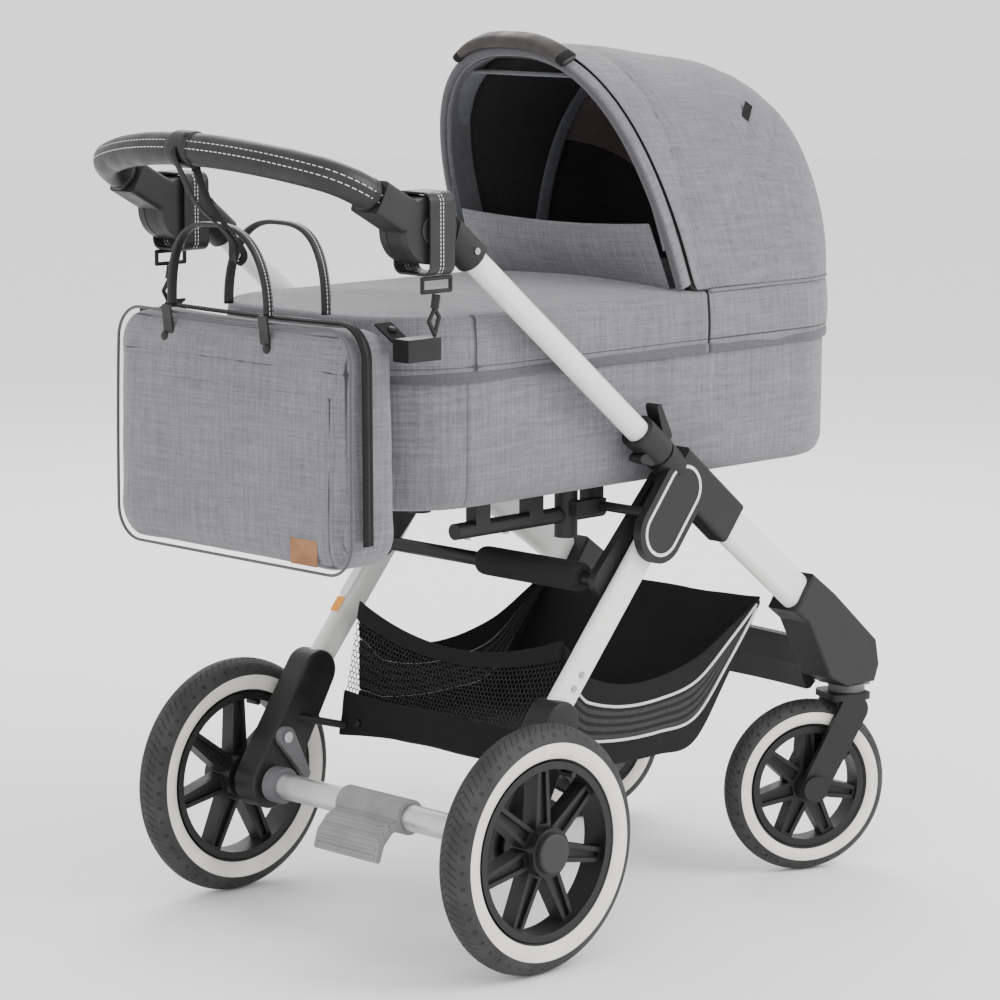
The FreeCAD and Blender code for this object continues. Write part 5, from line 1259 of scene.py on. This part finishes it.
    def bow(self) -> None:
        """Padded bow of the opening with its binding and inner facing."""
        def spine(s: float) -> Vector:
            """Middle line of the bow."""
            y, t = self.arch(self.even_angle(s), self.half - 6.0, self.height - 6.0)
            return self.bow_point(y, t, 7.5)

        def section(t: float, s: float) -> tuple[float, float]:
            """Rounded section, flatter at the feet."""
            return oval(t, 10.5, 6.8, 2.3)

        padded = Sweep(spine, lambda s: self.back, section)
        piece = padded.piece("bow_padding", "melange", 20, 160)
        attach(piece, "hood", "melange", "hood_bow")

        def front(s: float) -> Vector:
            """Line of the binding at the opening's edge."""
            y, t = self.arch(self.even_angle(s), self.half - 4.0, self.height - 4.0)
            return self.bow_point(y, t, 17.0)

        edge = Sweep(front, lambda s: self.back, lambda t, s: oval(t, 3.0, 5.6, 2.4))
        attach(edge.piece("bow_binding", "melange_edge", 10, 160), "hood", "melange")

        def facing(s: float, t: float) -> Vector:
            """Grey facing that turns inwards from the bow."""
            y, up = self.arch(self.even_angle(s), self.half - 13.0 - 3 * t, self.height - 13.0 - 6 * t)
            wave = ripple(mm(y, up, 30 * t), 30, 2.2) * t
            return (self.bow_point(y, up - wave, 14 - 34 * t)) * 0.001

        inner = thicken(cloth_piece("bow_facing", "melange_edge", 120, 8, facing), 0.0015)
        attach(inner, "hood", "melange")
        lobes = []
        for side, _ in SIDES:
            lobes.append((mm(self.pivot_x, side * (self.half - 4.5), self.pivot_z), Vector((0, side, 0))))
        attach(studs("bow_lobes", "plastic_black", lobes, 0.0135, 0.010), "hood", "melange")

    def handle(self) -> None:
        """Leather carry handle lying along the top of the bow."""
        def spine(s: float) -> Vector:
            """Middle line of the handle's pad."""
            y = self.handle_half * (1 - 2 * s)
            rise = self.height * (1 - (abs(y) / self.half) ** self.power) ** (1 / self.power)
            thick = self.handle_thick * (1 - 0.4 * abs(1 - 2 * s) ** 4)
            return self.bow_point(y, rise + 1 + thick / 2, self.handle_wide / 2 - 1)

        def section(t: float, s: float) -> tuple[float, float]:
            """Crowned section, drawn in at the ends."""
            end = ease(0.0, 0.05, 0.5 - abs(s - 0.5))
            thick = self.handle_thick / 2 * (1 - 0.4 * abs(1 - 2 * s) ** 4)
            return oval(t, self.handle_wide / 2 * (0.85 + 0.15 * end), thick * (0.7 + 0.3 * end), 3.2)

        grip = Sweep(spine, lambda s: self.back, section)
        piece = grip.piece("carry_handle", "leather_warm", 28, 80)
        attach(piece, "hood", "black_leather", "hood_handle")
        for side, label in SIDES:
            def end_line(s: float, side: float = side) -> Vector:
                """Short spine of the webbing end."""
                return spine(0.5 - side * (0.47 + 0.045 * (s - 0.5)))

            end = Sweep(end_line, lambda s: self.back, lambda t, s: oval(t, 13.6, 6.6, 3.0))
            attach(end.piece("carry_handle_end_" + label, "webbing", 20, 6), "hood", "black_leather")

    def tag(self) -> None:
        """Small blank tag sewn in the fan seam on each side."""
        for side, label in SIDES:
            angle = math.radians(self.fans[1])
            turn = math.pi / 2 - side * math.radians(65.0)
            for _ in range(60):
                x = self.pivot_x + self.tag_reach * math.cos(angle)
                high = self.pivot_z + self.tag_reach * math.sin(angle)
                spot = self.shell_point(x, turn)
                turn += side * (high - spot.z) * 0.002
            out = Vector((0, spot.y, (spot.z - 900) * 0.6)).normalized()
            tall = Vector((math.cos(angle), 0, math.sin(angle)))
            tall = (tall - out * tall.dot(out)).normalized()
            wide = out.cross(tall)
            made = plate("hood_tag_" + label, "tag", (spot + out * 1.5 + wide * 5) * 0.001, wide * 0.013,
                         tall * 0.034, 0.0012, 0.0008)
            self.bend(made)

    def build(self, cot: Cot) -> None:
        """Make every piece of the hood."""
        self.canopy()
        self.lining()
        self.skirt(cot)
        self.bow()
        self.handle()
        self.tag()


# --- Bag ------------------------------------------------------------------------------------

@dataclass
class Bag:
    """Changing bag: soft body, pocket, zip, patch, studs, loops and straps."""

    rear: float = -435.0
    front: float = -345.0
    half: float = 212.0
    low: float = 490.0
    high: float = 780.0
    edge: float = 26.0
    loop_half: float = 90.0
    loop_rise: float = 105.0
    strap_x: float = -318.0
    strap_wide: float = 38.0
    strap_in: float = 186.0
    strap_out: float = 242.5
    strap_top: float = 925.1
    strap_low: float = 836.0

    def shape(self, x: float, y: float, z: float) -> Vector:
        """Push a point of the plain block to the sagging shape of the bag."""
        across = y / self.half
        up = (z - self.low) / (self.high - self.low)
        depth = (x - (self.rear + self.front) / 2) / ((self.front - self.rear) / 2)
        belly = 1 + 0.05 * math.sin(math.pi * (1 - up) ** 1.3) * (1 - across ** 2)
        pinch = 1 - 0.16 * up ** 3 * (1 - 0.3 * across ** 2)
        thick = (self.front - self.rear) / 2 * depth * min(1.0, belly * pinch)
        sag = -3.5 * up ** 4 * (1 - across ** 2)
        wave = 2.2 * noise.noise(Vector((y / 120, z / 90, 3.1 * depth)))
        return mm((self.rear + self.front) / 2 + thick + wave * 0.8 * (abs(depth) > 0.9),
                  y * (1 - 0.012 * up ** 2), z + sag)

    def seam(self, spot: Vector, out: Vector) -> float:
        """Distance from the pocket, side and piping seams."""
        _, y, z = spot * 1000
        gaps = []
        if out.x < -0.4:
            gaps += [abs(z - 727.0), abs(z - 700.0)]
            if z < 700.0:
                gaps.append(abs(y + self.half - 32.0))
        frame_gap = max(abs(y) - (self.half - 14), abs(z - (self.low + self.high) / 2)
                        - ((self.high - self.low) / 2 - 14))
        if out.x < -0.2:
            gaps.append(abs(frame_gap))
        else:
            gaps.append(400.0)
        return min(gaps) * 0.001

    def body(self) -> bpy.types.Object:
        """Soft body of the bag, swelled by a short cloth simulation."""
        size = Matrix.Diagonal((self.front - self.rear - 8, 2 * self.half - 8, self.high - self.low - 8, 1))
        centre = Matrix.Translation(((self.rear + self.front) / 2, 0, (self.low + self.high) / 2))
        bm = bmesh.new()
        bmesh.ops.create_cube(bm, size=1.0, matrix=centre @ size)
        deep = [e for e in bm.edges if abs(e.verts[0].co.x - e.verts[1].co.x) > 10]
        bmesh.ops.bevel(bm, geom=deep, offset=self.edge * 1.5, segments=8, profile=0.5, affect="EDGES",
                        material=-1)
        rims = [e for e in bm.edges if abs(e.verts[0].co.x - e.verts[1].co.x) < 1]
        bmesh.ops.bevel(bm, geom=rims, offset=self.edge * 0.45, segments=4, profile=0.5, affect="EDGES",
                        material=-1)
        bmesh.ops.scale(bm, vec=(0.001, 0.001, 0.001), verts=bm.verts)
        piece = finish_mesh(bm, "bag_body", "melange")
        even = piece.modifiers.new("even", "REMESH")
        even.mode = "VOXEL"
        even.voxel_size = 0.007
        bake_modifiers(piece)
        for vert in piece.data.vertices:
            x, y, z = vert.co * 1000
            vert.co = self.shape(x, y, z)
        Padding(0.006, 4.0, 20, 0.005).apply(piece)
        wrap_marks(piece, self.seam)
        piece.data.materials.clear()
        piece.data.materials.append(WARDROBE.get("melange"))
        soften(piece, 1)
        return attach(piece, "bag", "melange", "bag_shell")

    def rear_x(self, y: float, z: float) -> float:
        """Rear face of the bag at a point, in millimetres, a little outside it."""
        return self.shape(self.rear + 2.5, y, z).x * 1000

    def trims(self) -> None:
        """Piping, zip, patch, studs and ears of the bag."""
        def outline(s: float) -> Vector:
            """Rounded outline of the rear face."""
            plan = RoundedPlan(self.low + 4, self.high - 4, self.half - 4, self.edge * 1.5)
            spot, _ = plan.spot(s * plan.length)
            shaped = self.shape(self.rear + 9, spot.y, spot.x) * 1000
            return shaped

        cord = Sweep(outline, lambda s: Vector((1, 0, 0)), lambda t, s: oval(t, 1.9, 1.9))
        attach(cord.piece("bag_piping", "melange_edge", 8, 200), "bag", "melange")

        def zip_line(s: float) -> Vector:
            """Zip over the top and down the right side of the bag."""
            plan = RoundedPlan(self.low, self.high, self.half, self.edge * 1.6)
            start = plan.length - plan.at_x(self.low + 40)
            spot, out = plan.spot(start + (plan.length - start + 2 * 60) * s)
            shaped = self.shape(self.rear + 30, spot.y, spot.x) * 1000
            return shaped + Vector((0, out.y, out.x)) * 1.2

        tape = Sweep(zip_line, lambda s: Vector((1, 0, 0)), lambda t, s: oval(t, 8.0, 1.6, 3.0))
        attach(tape.piece("bag_zip", "webbing", 12, 120), "bag", "black_fabric")
        teeth = Sweep(zip_line, lambda s: Vector((1, 0, 0)),
                      lambda t, s: oval(t, 2.2, 2.6 + 0.3 * math.sin(600 * s), 2.0))
        attach(teeth.piece("bag_zip_teeth", "metal_black", 8, 300), "bag", "black_fabric")
        patch = plate("bag_patch", "leather_brown", mm(self.rear_x(-138, 518) - 2.6, -138, 518),
                      mm(0, -46, 0), mm(0, 0, 30), 0.0016)
        attach(patch, "bag", "black_leather")
        spots = [(mm(self.rear_x(y, 745) - 1.5, y, 745), Vector((-1, 0, 0))) for y in (112.0, -70.0)]
        attach(studs("bag_studs", "metal_black", spots, 0.0068, 0.005), "bag", "black_metal")
        for side, label in SIDES:
            ear = plate("bag_ear_" + label, "webbing", mm(-352, side * 196, self.high - 12),
                        mm(26, 0, 0), mm(0, side * 30, -18), 0.003)
            attach(ear, "bag", "black_fabric")
        stud = [(mm(-352, side * 198, self.high - 8), Vector((0, 0.4 * side, 0.9))) for side, _ in SIDES]
        attach(studs("bag_ear_studs", "metal_black", stud, 0.0055, 0.004), "bag", "black_metal")

    def loops(self) -> None:
        """Carrying loops of stitched leather."""
        made = []
        for label, x, middle, lean in (("rear", self.rear + 12, 20.0, -6.0),
                                       ("front", self.front - 16, -10.0, 6.0)):
            low = self.high + 1
            rise = self.loop_rise - 4

            def spine(s: float, x: float = x, middle: float = middle, lean: float = lean) -> Vector:
                """Arch of the loop."""
                angle = math.pi * s
                half = self.loop_half - 4
                y = middle + half * math.copysign(abs(math.cos(angle)) ** 0.72, math.cos(angle))
                up = rise * max(0.0, math.sin(angle)) ** 0.85
                return Vector((x + lean * (up / rise) ** 2, y, low + up))

            shape = Sweep(spine, lambda s: Vector((1, 0, 0)), lambda t, s: oval(t, 6.8, 3.0, 2.6))
            made.append(shape.piece("bag_loop_" + label, "leather_loop", 16, 110))
        attach(made[0], "bag", "black_leather", "bag_loops")
        attach(made[1], "bag", "black_leather")
        feet = []
        for y in (20 + self.loop_half - 4, 20 - self.loop_half + 4):
            feet.append((mm(self.rear + 5, y, self.high - 14), y))
        for number, (spot, y) in enumerate(feet):
            foot = plate("bag_loop_foot_%d" % number, "leather_plain", spot, mm(0, -16, 0), mm(-4, 0, 34),
                         0.003)
            attach(foot, "bag", "black_leather")

    def straps(self) -> None:
        """Leather straps round the handle knuckles."""
        pieces = []
        for side, label in SIDES:
            plan = RoundedPlan(self.strap_low - 1.5, self.strap_top + 1.5,
                               (self.strap_out - self.strap_in) / 2 + 1.5, 11.0)
            centre = side * (self.strap_out + self.strap_in) / 2

            def place(s: float, t: float, plan: RoundedPlan = plan, centre: float = centre) -> Vector:
                """Point on the strap."""
                spot, _ = plan.spot(s * plan.length)
                x = self.strap_x + self.strap_wide / 2 * (1 - 2 * t)
                return mm(x, centre + spot.y, spot.x)

            piece = cloth_piece("knuckle_strap_" + label, "leather_strap", 120, 8, place)
            wall = piece.modifiers.new("wall", "SOLIDIFY")
            wall.thickness = 0.0028
            wall.offset = 0.0
            round_edge = piece.modifiers.new("edge", "BEVEL")
            round_edge.width = 0.0006
            round_edge.segments = 2
            pieces.append(piece)
        attach(pieces[0], "bag", "black_leather", "bag_straps")
        attach(pieces[1], "bag", "black_leather")

    def build(self) -> None:
        """Make every piece of the bag."""
        self.body()
        self.trims()
        self.loops()
        self.straps()


# --- Handle ---------------------------------------------------------------------------------

@dataclass
class Handle:
    """Leather-covered bar, its middle band and the wrist loop."""

    x: float = -327.0
    z: float = 885.0
    rise: float = 29.0
    bar_y: float = 216.0
    start: float = 84.6
    bend: float = 88.7
    bow: float = 91.8
    corner: float = 55.0
    radius: float = 19.0
    band: float = 40.0

    @property
    def arm(self) -> Vector:
        """Direction of the handle's arms."""
        turn = math.radians(self.rise)
        return Vector((-math.cos(turn), 0, math.sin(turn)))

    def plan(self, s: float) -> tuple[float, float]:
        """Place across and along the arms at a share s of the bar, from left to right."""
        reach = self.bar_y - self.corner
        crown = (reach ** 2 + self.bow ** 2 - self.corner ** 2) / (2 * (self.bow - self.corner))
        share = reach / (crown - self.corner)
        corner_turn = math.acos(share) if share < 1 else 0.0
        small = self.corner * corner_turn
        wide = crown * (math.pi / 2 - corner_turn)
        total = 2 * (self.bend - self.start + small + wide)
        walked = total * min(s, 1 - s)
        sign = 1 if s < 0.5 else -1
        first = self.bend - self.start
        if walked < first:
            return sign * self.bar_y, self.start + walked
        walked -= first
        if walked < small:
            turn = walked / self.corner
            return sign * (reach + self.corner * math.cos(turn)), self.bend + self.corner * math.sin(turn)
        turn = corner_turn + (walked - small) / crown
        return (sign * crown * math.cos(turn),
                self.bend + self.bow - crown + crown * math.sin(turn))

    def spine(self, s: float) -> Vector:
        """Middle line of the bar."""
        y, along = self.plan(s)
        return Vector((self.x, y, self.z)) + self.arm * along

    def build(self) -> None:
        """Make the bar's cover, rings, band and wrist loop."""
        top = Vector((-math.sin(math.radians(self.rise)), 0, -math.cos(math.radians(self.rise)))) * -1

        def section(t: float, s: float) -> tuple[float, float]:
            """Round section, turned so that its seam lies inside."""
            return oval(t + 0.02, self.radius, self.radius)

        cover = Sweep(self.spine, lambda s: top, section)
        piece = cover.piece("bar_cover", "leather_bar", 32, 190)
        attach(piece, "handle", "black_leather", "handlebar")
        for side, label in SIDES:
            def short(s: float, side: float = side) -> Vector:
                """Short spine at the bar's end."""
                share = 0.003 + 0.016 * s
                return self.spine(share if side > 0 else 1 - share)

            def ring_section(t: float, s: float) -> tuple[float, float]:
                """Round section of the ring, drawn in at its ends."""
                reach = self.radius + 1.0 - 1.5 * abs(2 * s - 1) ** 3
                return oval(t, reach, reach)

            ring = Sweep(short, lambda s: top, ring_section)
            attach(ring.piece("bar_ring_" + label, "plastic_deep", 32, 8), "handle", "black_plastic")
        wide = self.band / 620.0

        def middle(s: float) -> Vector:
            """Spine under the band."""
            return self.spine(0.5 + wide * (s - 0.5))

        belt = Sweep(middle, lambda s: top,
                     lambda t, s: oval(t, self.radius + 2.6 - 1.2 * abs(2 * s - 1) ** 6,
                                       self.radius + 2.6 - 1.2 * abs(2 * s - 1) ** 6))
        band = belt.piece("bar_band", "leather_plain", 32, 12)
        attach(band, "handle", "black_leather", "wrist_strap")
        centre = self.spine(0.5)
        line = bent_line([centre + Vector((-6, 4, self.radius - 4)),
                          centre + Vector((-self.radius - 2, 2, 0)),
                          centre + Vector((-14, -6, -self.radius - 8)), centre + Vector((-2, -18, -62)),
                          Vector((-461, -42, 874)), Vector((-464, -54, 852)), Vector((-461, -62, 846)),
                          Vector((-457, -60, 862)), centre + Vector((8, -28, -60)),
                          centre + Vector((6, -10, -self.radius - 6)), centre + Vector((15, -2, -14))])
        web = Sweep(line, lambda s: Vector((0.25, 1, 0.15)), lambda t, s: oval(t, 9.0, 1.0, 3.0))
        attach(web.piece("wrist_webbing", "webbing", 10, 120), "handle", "black_fabric")
        spots = [(centre * 0.001 + Vector((-0.012, -0.012, 0.0175)), Vector((-0.5, 0, 0.86)))]
        attach(studs("band_stud", "metal_black", spots, 0.0045, 0.004), "handle", "black_metal")


# --- Basket ---------------------------------------------------------------------------------

@dataclass
class Basket:
    """Shopping basket: black sling, open net at the rear, ribbed net at the sides, white piping."""

    half: float = 184.0
    floor_low: float = 198.5

    def side_top(self, x: float) -> float:
        """Upper edge of the side panels."""
        return through(((-60, 366), (-44, 352), (-16, 318), (70, 297), (176, 312), (260, 352), (300, 374)), x)

    def profile(self, s: float) -> Vector:
        """Middle line of the sling from the rear edge under the load to the front edge."""
        line = ((0.0, -60.0, 362.0), (0.22, -88.0, 218.0), (0.3, -70.0, 205.5), (0.42, 20.0, 199.5),
                (0.56, 110.0, 198.5), (0.66, 176.0, 204.0), (0.8, 236.0, 276.0), (1.0, 302.0, 372.0))
        return Vector((through([(a, b) for a, b, _ in line], s), 0, through([(a, c) for a, _, c in line], s)))

    def sling(self) -> None:
        """Floor and front of the sling as one curved sheet, and the lower part of the rear."""
        def place(s: float, t: float) -> Vector:
            """Point on the sling."""
            spot = self.profile(0.16 + 0.84 * t)
            y = self.half * (1 - 2 * s)
            lift = 4.0 * abs(1 - 2 * s) ** 6
            wave = ripple(mm(spot.x, y, 0), 70, 2.5) * (1 - abs(1 - 2 * s) ** 4)
            return mm(spot.x, y, max(self.floor_low - 1, spot.z + lift + max(-1.0, wave)))

        floor = thicken(cloth_piece("basket_sling", "basket_cloth", 60, 80, place), 0.0016)
        attach(floor, "chassis", "black_fabric", "basket")

    def rear(self) -> None:
        """Rear panel: open net with a bound upper edge that droops in the middle."""
        def place(s: float, t: float) -> Vector:
            """Point on the net."""
            side = abs(1 - 2 * s)
            top = 362.0 - 34.0 * (1 - side ** 2)
            z = 240.0 + (top - 240.0) * t
            x = -90.0 + (z - 214.0) * 0.223 - 5 * (1 - side ** 2) * math.sin(math.pi * t)
            return mm(x, (self.half - 1) * (1 - 2 * s), z)

        net = cloth_piece("basket_net", "net_open", 60, 24, place)
        attach(net, "chassis", "black_fabric")
        for name, low, high, material in (("basket_rear_hem", 0.86, 1.06, "basket_cloth"),
                                          ("basket_rear_low", -0.34, 0.06, "basket_cloth")):
            def hem(s: float, t: float, low: float = low, high: float = high) -> Vector:
                """Point on a cloth band of the rear panel."""
                spot = place(s, low + (high - low) * t)
                return spot + Vector((-0.0012, 0, 0))

            made = thicken(cloth_piece(name, material, 60, 8, hem), 0.0016)
            attach(made, "chassis", "black_fabric")
        spots = [(mm(-88.5 - 3.5, y, 218), Vector((-1, 0, 0))) for y in (150.0, -150.0)]
        attach(studs("basket_rivets", "metal_black", spots, 0.0055, 0.0045), "chassis", "black_metal")

    def sides(self) -> None:
        """Side panels with a plain hem, a ribbed net and two lines of white piping."""
        for side, label in SIDES:
            def point(s: float, share: float, side: float = side, off: float = 0.0) -> Vector:
                """Point of the panel at a share of its height."""
                x = -58 + 358 * s
                low = self.low_at(x)
                high = self.side_top(x)
                bulge = 3.0 * math.sin(math.pi * share) * math.sin(math.pi * s)
                inset = 1.5 * share
                return Vector((x, side * (self.half - inset + bulge * 0.3 + off), low + (high - low) * share))

            for name, low, high, material in (("hem", 0.72, 1.0, "basket_cloth"),
                                              ("net", 0.3, 0.72, "net_ribbed"),
                                              ("low", 0.0, 0.3, "basket_cloth")):
                def place(s: float, t: float, low: float = low, high: float = high,
                          point: Callable[..., Vector] = point) -> Vector:
                    """Point on one band of the side panel."""
                    return point(s, low + (high - low) * t) * 0.001

                title = "basket_side_%s_%s" % (name, label)
                made = thicken(cloth_piece(title, material, 70, 10, place), 0.0016)
                attach(made, "chassis", "black_fabric")
            for number, share in enumerate((0.3, 0.72)):
                def line(s: float, share: float = share, point: Callable[..., Vector] = point) -> Vector:
                    """Line of the piping."""
                    return point(0.02 + 0.96 * s, share, off=1.3)

                cord = Sweep(line, lambda s: Vector((0, 0, 1)), lambda t, s: oval(t, 1.9, 1.5))
                made = cord.piece("basket_piping_%s_%d" % (label, number), "piping_white", 8, 90)
                attach(made, "chassis", "black_fabric")

    def low_at(self, x: float) -> float:
        """Height of the sling's floor or front under a point of the side."""
        return through(((-92, 214), (-70, 206), (20, 201), (110, 200), (176, 206), (236, 278), (302, 371)), x)

    def build(self) -> None:
        """Make every piece of the basket."""
        self.sling()
        self.rear()
        self.sides()


# --- Frame and wheels -----------------------------------------------------------------------

@dataclass
class Chassis:
    """Finishes of the parts that keep their own shape, and small added details."""

    rear_r: float = 150.0
    front_r: float = 113.0
    finishes: dict[str, str] = field(default_factory=lambda: {
        "front_legs": "tube_white", "push_tubes": "tube_white", "rear_legs": "tube_white",
        "hub_housings": "plastic_black", "hub_rings": "trim_bright", "hub_badges": "plastic_black",
        "front_knees": "plastic_black", "knee_fittings": "plastic_grey", "front_cross_bow": "plastic_deep",
        "front_bow_tread": "pedal_grey", "cot_rails": "plastic_deep", "cot_adaptors": "plastic_black",
        "frame_screws": "screw_steel", "knuckle_bases": "plastic_black", "link_arms": "plastic_black",
        "cross_bar": "metal_black", "cross_bar_foam": "foam", "rear_housings": "plastic_black",
        "rear_axle": "axle_silver", "axle_clamps": "plastic_grey", "basket_stays": "metal_black",
        "rear_screws": "screw_steel", "brake_pedal": "pedal_grey", "handle_knuckles": "plastic_grey_dark",
        "bag_hardware": "metal_black"})

    def dress(self) -> None:
        """Give every shown node its finish."""
        for node, finish in self.finishes.items():
            self.paint(node, finish)
        for _, label in SIDES:
            box_low, box_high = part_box("rear_tyre_" + label)
            centre = tuple((box_low + box_high) / 2)
            self.paint("rear_tyre_" + label, WARDROBE.add(Rubber(
                "rubber_rear_" + label, 0.024, 0.7, centre=centre, radius=self.rear_r * 0.001)))
            box_low, box_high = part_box("front_tyre_" + label)
            centre = tuple((box_low + box_high) / 2)
            scale = self.front_r / self.rear_r
            self.paint("front_tyre_" + label, WARDROBE.add(Rubber(
                "rubber_front_" + label, 0.024, 0.7, centre=centre, turn=-23.0,
                ring=(0.0835, 0.0985), radius=self.front_r * 0.001, dimples=int(46 * scale) + 2)))
            for node, finish in (("rear_rim_", "plastic_deep"), ("rear_cap_", "cap_dark"),
                                 ("front_rim_", "plastic_deep"), ("fork_", "plastic_black"),
                                 ("front_axle_", "plastic_deep"), ("lock_ring_", "plastic_grey"),
                                 ("handle_button_", "cap_dark"), ("fold_collar_", "plastic_black"),
                                 ("release_lever_", "plastic_grey")):
                self.paint(node + label, finish)

    def paint(self, node: str, finish: str) -> None:
        """Put one finish on every slot of a node."""
        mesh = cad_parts[node].data
        material = WARDROBE.get(finish)
        if not mesh.materials:
            mesh.materials.append(material)
        for index in range(len(mesh.materials)):
            mesh.materials[index] = material

    def labels(self) -> None:
        """Blank label on the far rear leg, and foam on the cross bar."""
        down = Vector((-math.cos(math.radians(49.5)), 0, -math.sin(math.radians(49.5))))
        face = Vector((down.z, 0, -down.x))
        for name, finish, reach, tall in (("leg_label_white", "label_white", 60.0, 46.0),
                                          ("leg_label_orange", "label_orange", 97.0, 22.0)):
            spot = Vector((9.8, 212.4, 423.3)) + down * reach + face * 19.2
            made = plate(name, finish, spot * 0.001, Vector((0, -0.014, 0)), down * tall * 0.001,
                         0.0004, 0.0015)
            attach(made, "rear_frame", "white_tube")
        line = bent_line([Vector((-5, -165, 437)), Vector((-5, -77, 437)), Vector((-5, 10, 437))])
        sleeve = Sweep(line, lambda s: Vector((0, 0, 1)),
                       lambda t, s: oval(t, 18.4 - 3 * abs(2 * s - 1) ** 30, 18.4 - 3 * abs(2 * s - 1) ** 30))
        made = sleeve.piece("cross_bar_sleeve", "foam", 28, 60)
        attach(made, "rear_frame", "foam", "cross_bar_foam")

    def bow_line(self) -> None:
        """Thin white line along the front cross bow."""
        def line(s: float) -> Vector:
            """Arc of the line in plan."""
            y = 168.0 * (1 - 2 * s)
            x = 405.0 - 1060.0 + math.sqrt((1060.0 + 3.0) ** 2 - y * y)
            return Vector((x, y, 309.4))

        strip = Sweep(line, lambda s: Vector((1, 0, 0)), lambda t, s: oval(t, 2.0, 0.7))
        attach(strip.piece("bow_white_line", "label_white", 8, 80), "chassis", "black_plastic")

    def build(self) -> None:
        """Dress the frame and add its details."""
        self.dress()
        self.labels()
        self.bow_line()


# --- Studio ---------------------------------------------------------------------------------

@dataclass
class Studio:
    """Plain pale floor, soft lights and the camera."""

    aim: tuple[float, float, float] = (0.015, 0.0, 0.5114)
    turn: float = -44.68
    rise: float = 9.17
    away: float = 4.6325
    lens: float = 133.34

    def camera(self) -> None:
        """Camera at the viewing angle."""
        a, e = math.radians(self.turn), math.radians(self.rise)
        back = Vector((math.sin(a) * math.cos(e), -math.cos(a) * math.cos(e), math.sin(e)))
        data = bpy.data.cameras.new("camera")
        data.lens = self.lens
        data.sensor_width = 36.0
        camera = bpy.data.objects.new("camera", data)
        camera.location = Vector(self.aim) + back * self.away
        camera.rotation_euler = back.to_track_quat("Z", "Y").to_euler()
        bpy.context.scene.collection.objects.link(camera)
        bpy.context.scene.camera = camera

    def floor(self) -> None:
        """Pale floor."""
        bm = bmesh.new()
        bmesh.ops.create_circle(bm, cap_ends=True, segments=96, radius=14.0)
        piece = finish_mesh(bm, "studio_floor", "studio_pale")
        piece.location.z = -0.0005

    def light(self, name: str, spot: Vector, power: float, size: float) -> None:
        """Soft square light aimed at the stroller."""
        data = bpy.data.lights.new(name, "AREA")
        data.energy = power
        data.size = size
        lamp = bpy.data.objects.new(name, data)
        lamp.location = spot
        lamp.rotation_euler = (spot - Vector(self.aim)).to_track_quat("Z", "Y").to_euler()
        bpy.context.scene.collection.objects.link(lamp)

    def build(self) -> None:
        """Set up the whole studio."""
        self.camera()
        self.floor()
        self.light("key_light", Vector((1.4, -3.2, 3.2)), 120.0, 2.4)
        self.light("fill_light", Vector((-3.4, -2.0, 2.0)), 26.0, 2.6)
        self.light("rim_light", Vector((2.2, 2.4, 3.0)), 80.0, 2.2)
        world = bpy.data.worlds.new("studio_world")
        world.use_nodes = True
        world.node_tree.nodes["Background"].inputs[0].default_value = (1.0, 1.0, 1.0, 1.0)
        world.node_tree.nodes["Background"].inputs[1].default_value = 1.5
        bpy.context.scene.world = world


def main() -> None:
    """Build the stroller's looks in order."""
    logging.basicConfig(level=logging.INFO, format="%(message)s")
    for finish in (Leather("leather_brown", (0.3, 0.135, 0.055), 0.55),
                   Moulded("studio_pale", 0.95, 0.9, dust=0.0),
                   Moulded("plastic_grey_dark", 0.014, 0.45)):
        WARDROBE.add(finish)
    Studio().build()
    cot = Cot()
    hood = Hood()
    cot.build(hood)
    hood.build(cot)
    Bag().build()
    Handle().build()
    Basket().build()
    Chassis().build()


if __name__ == "__main__":
    main()
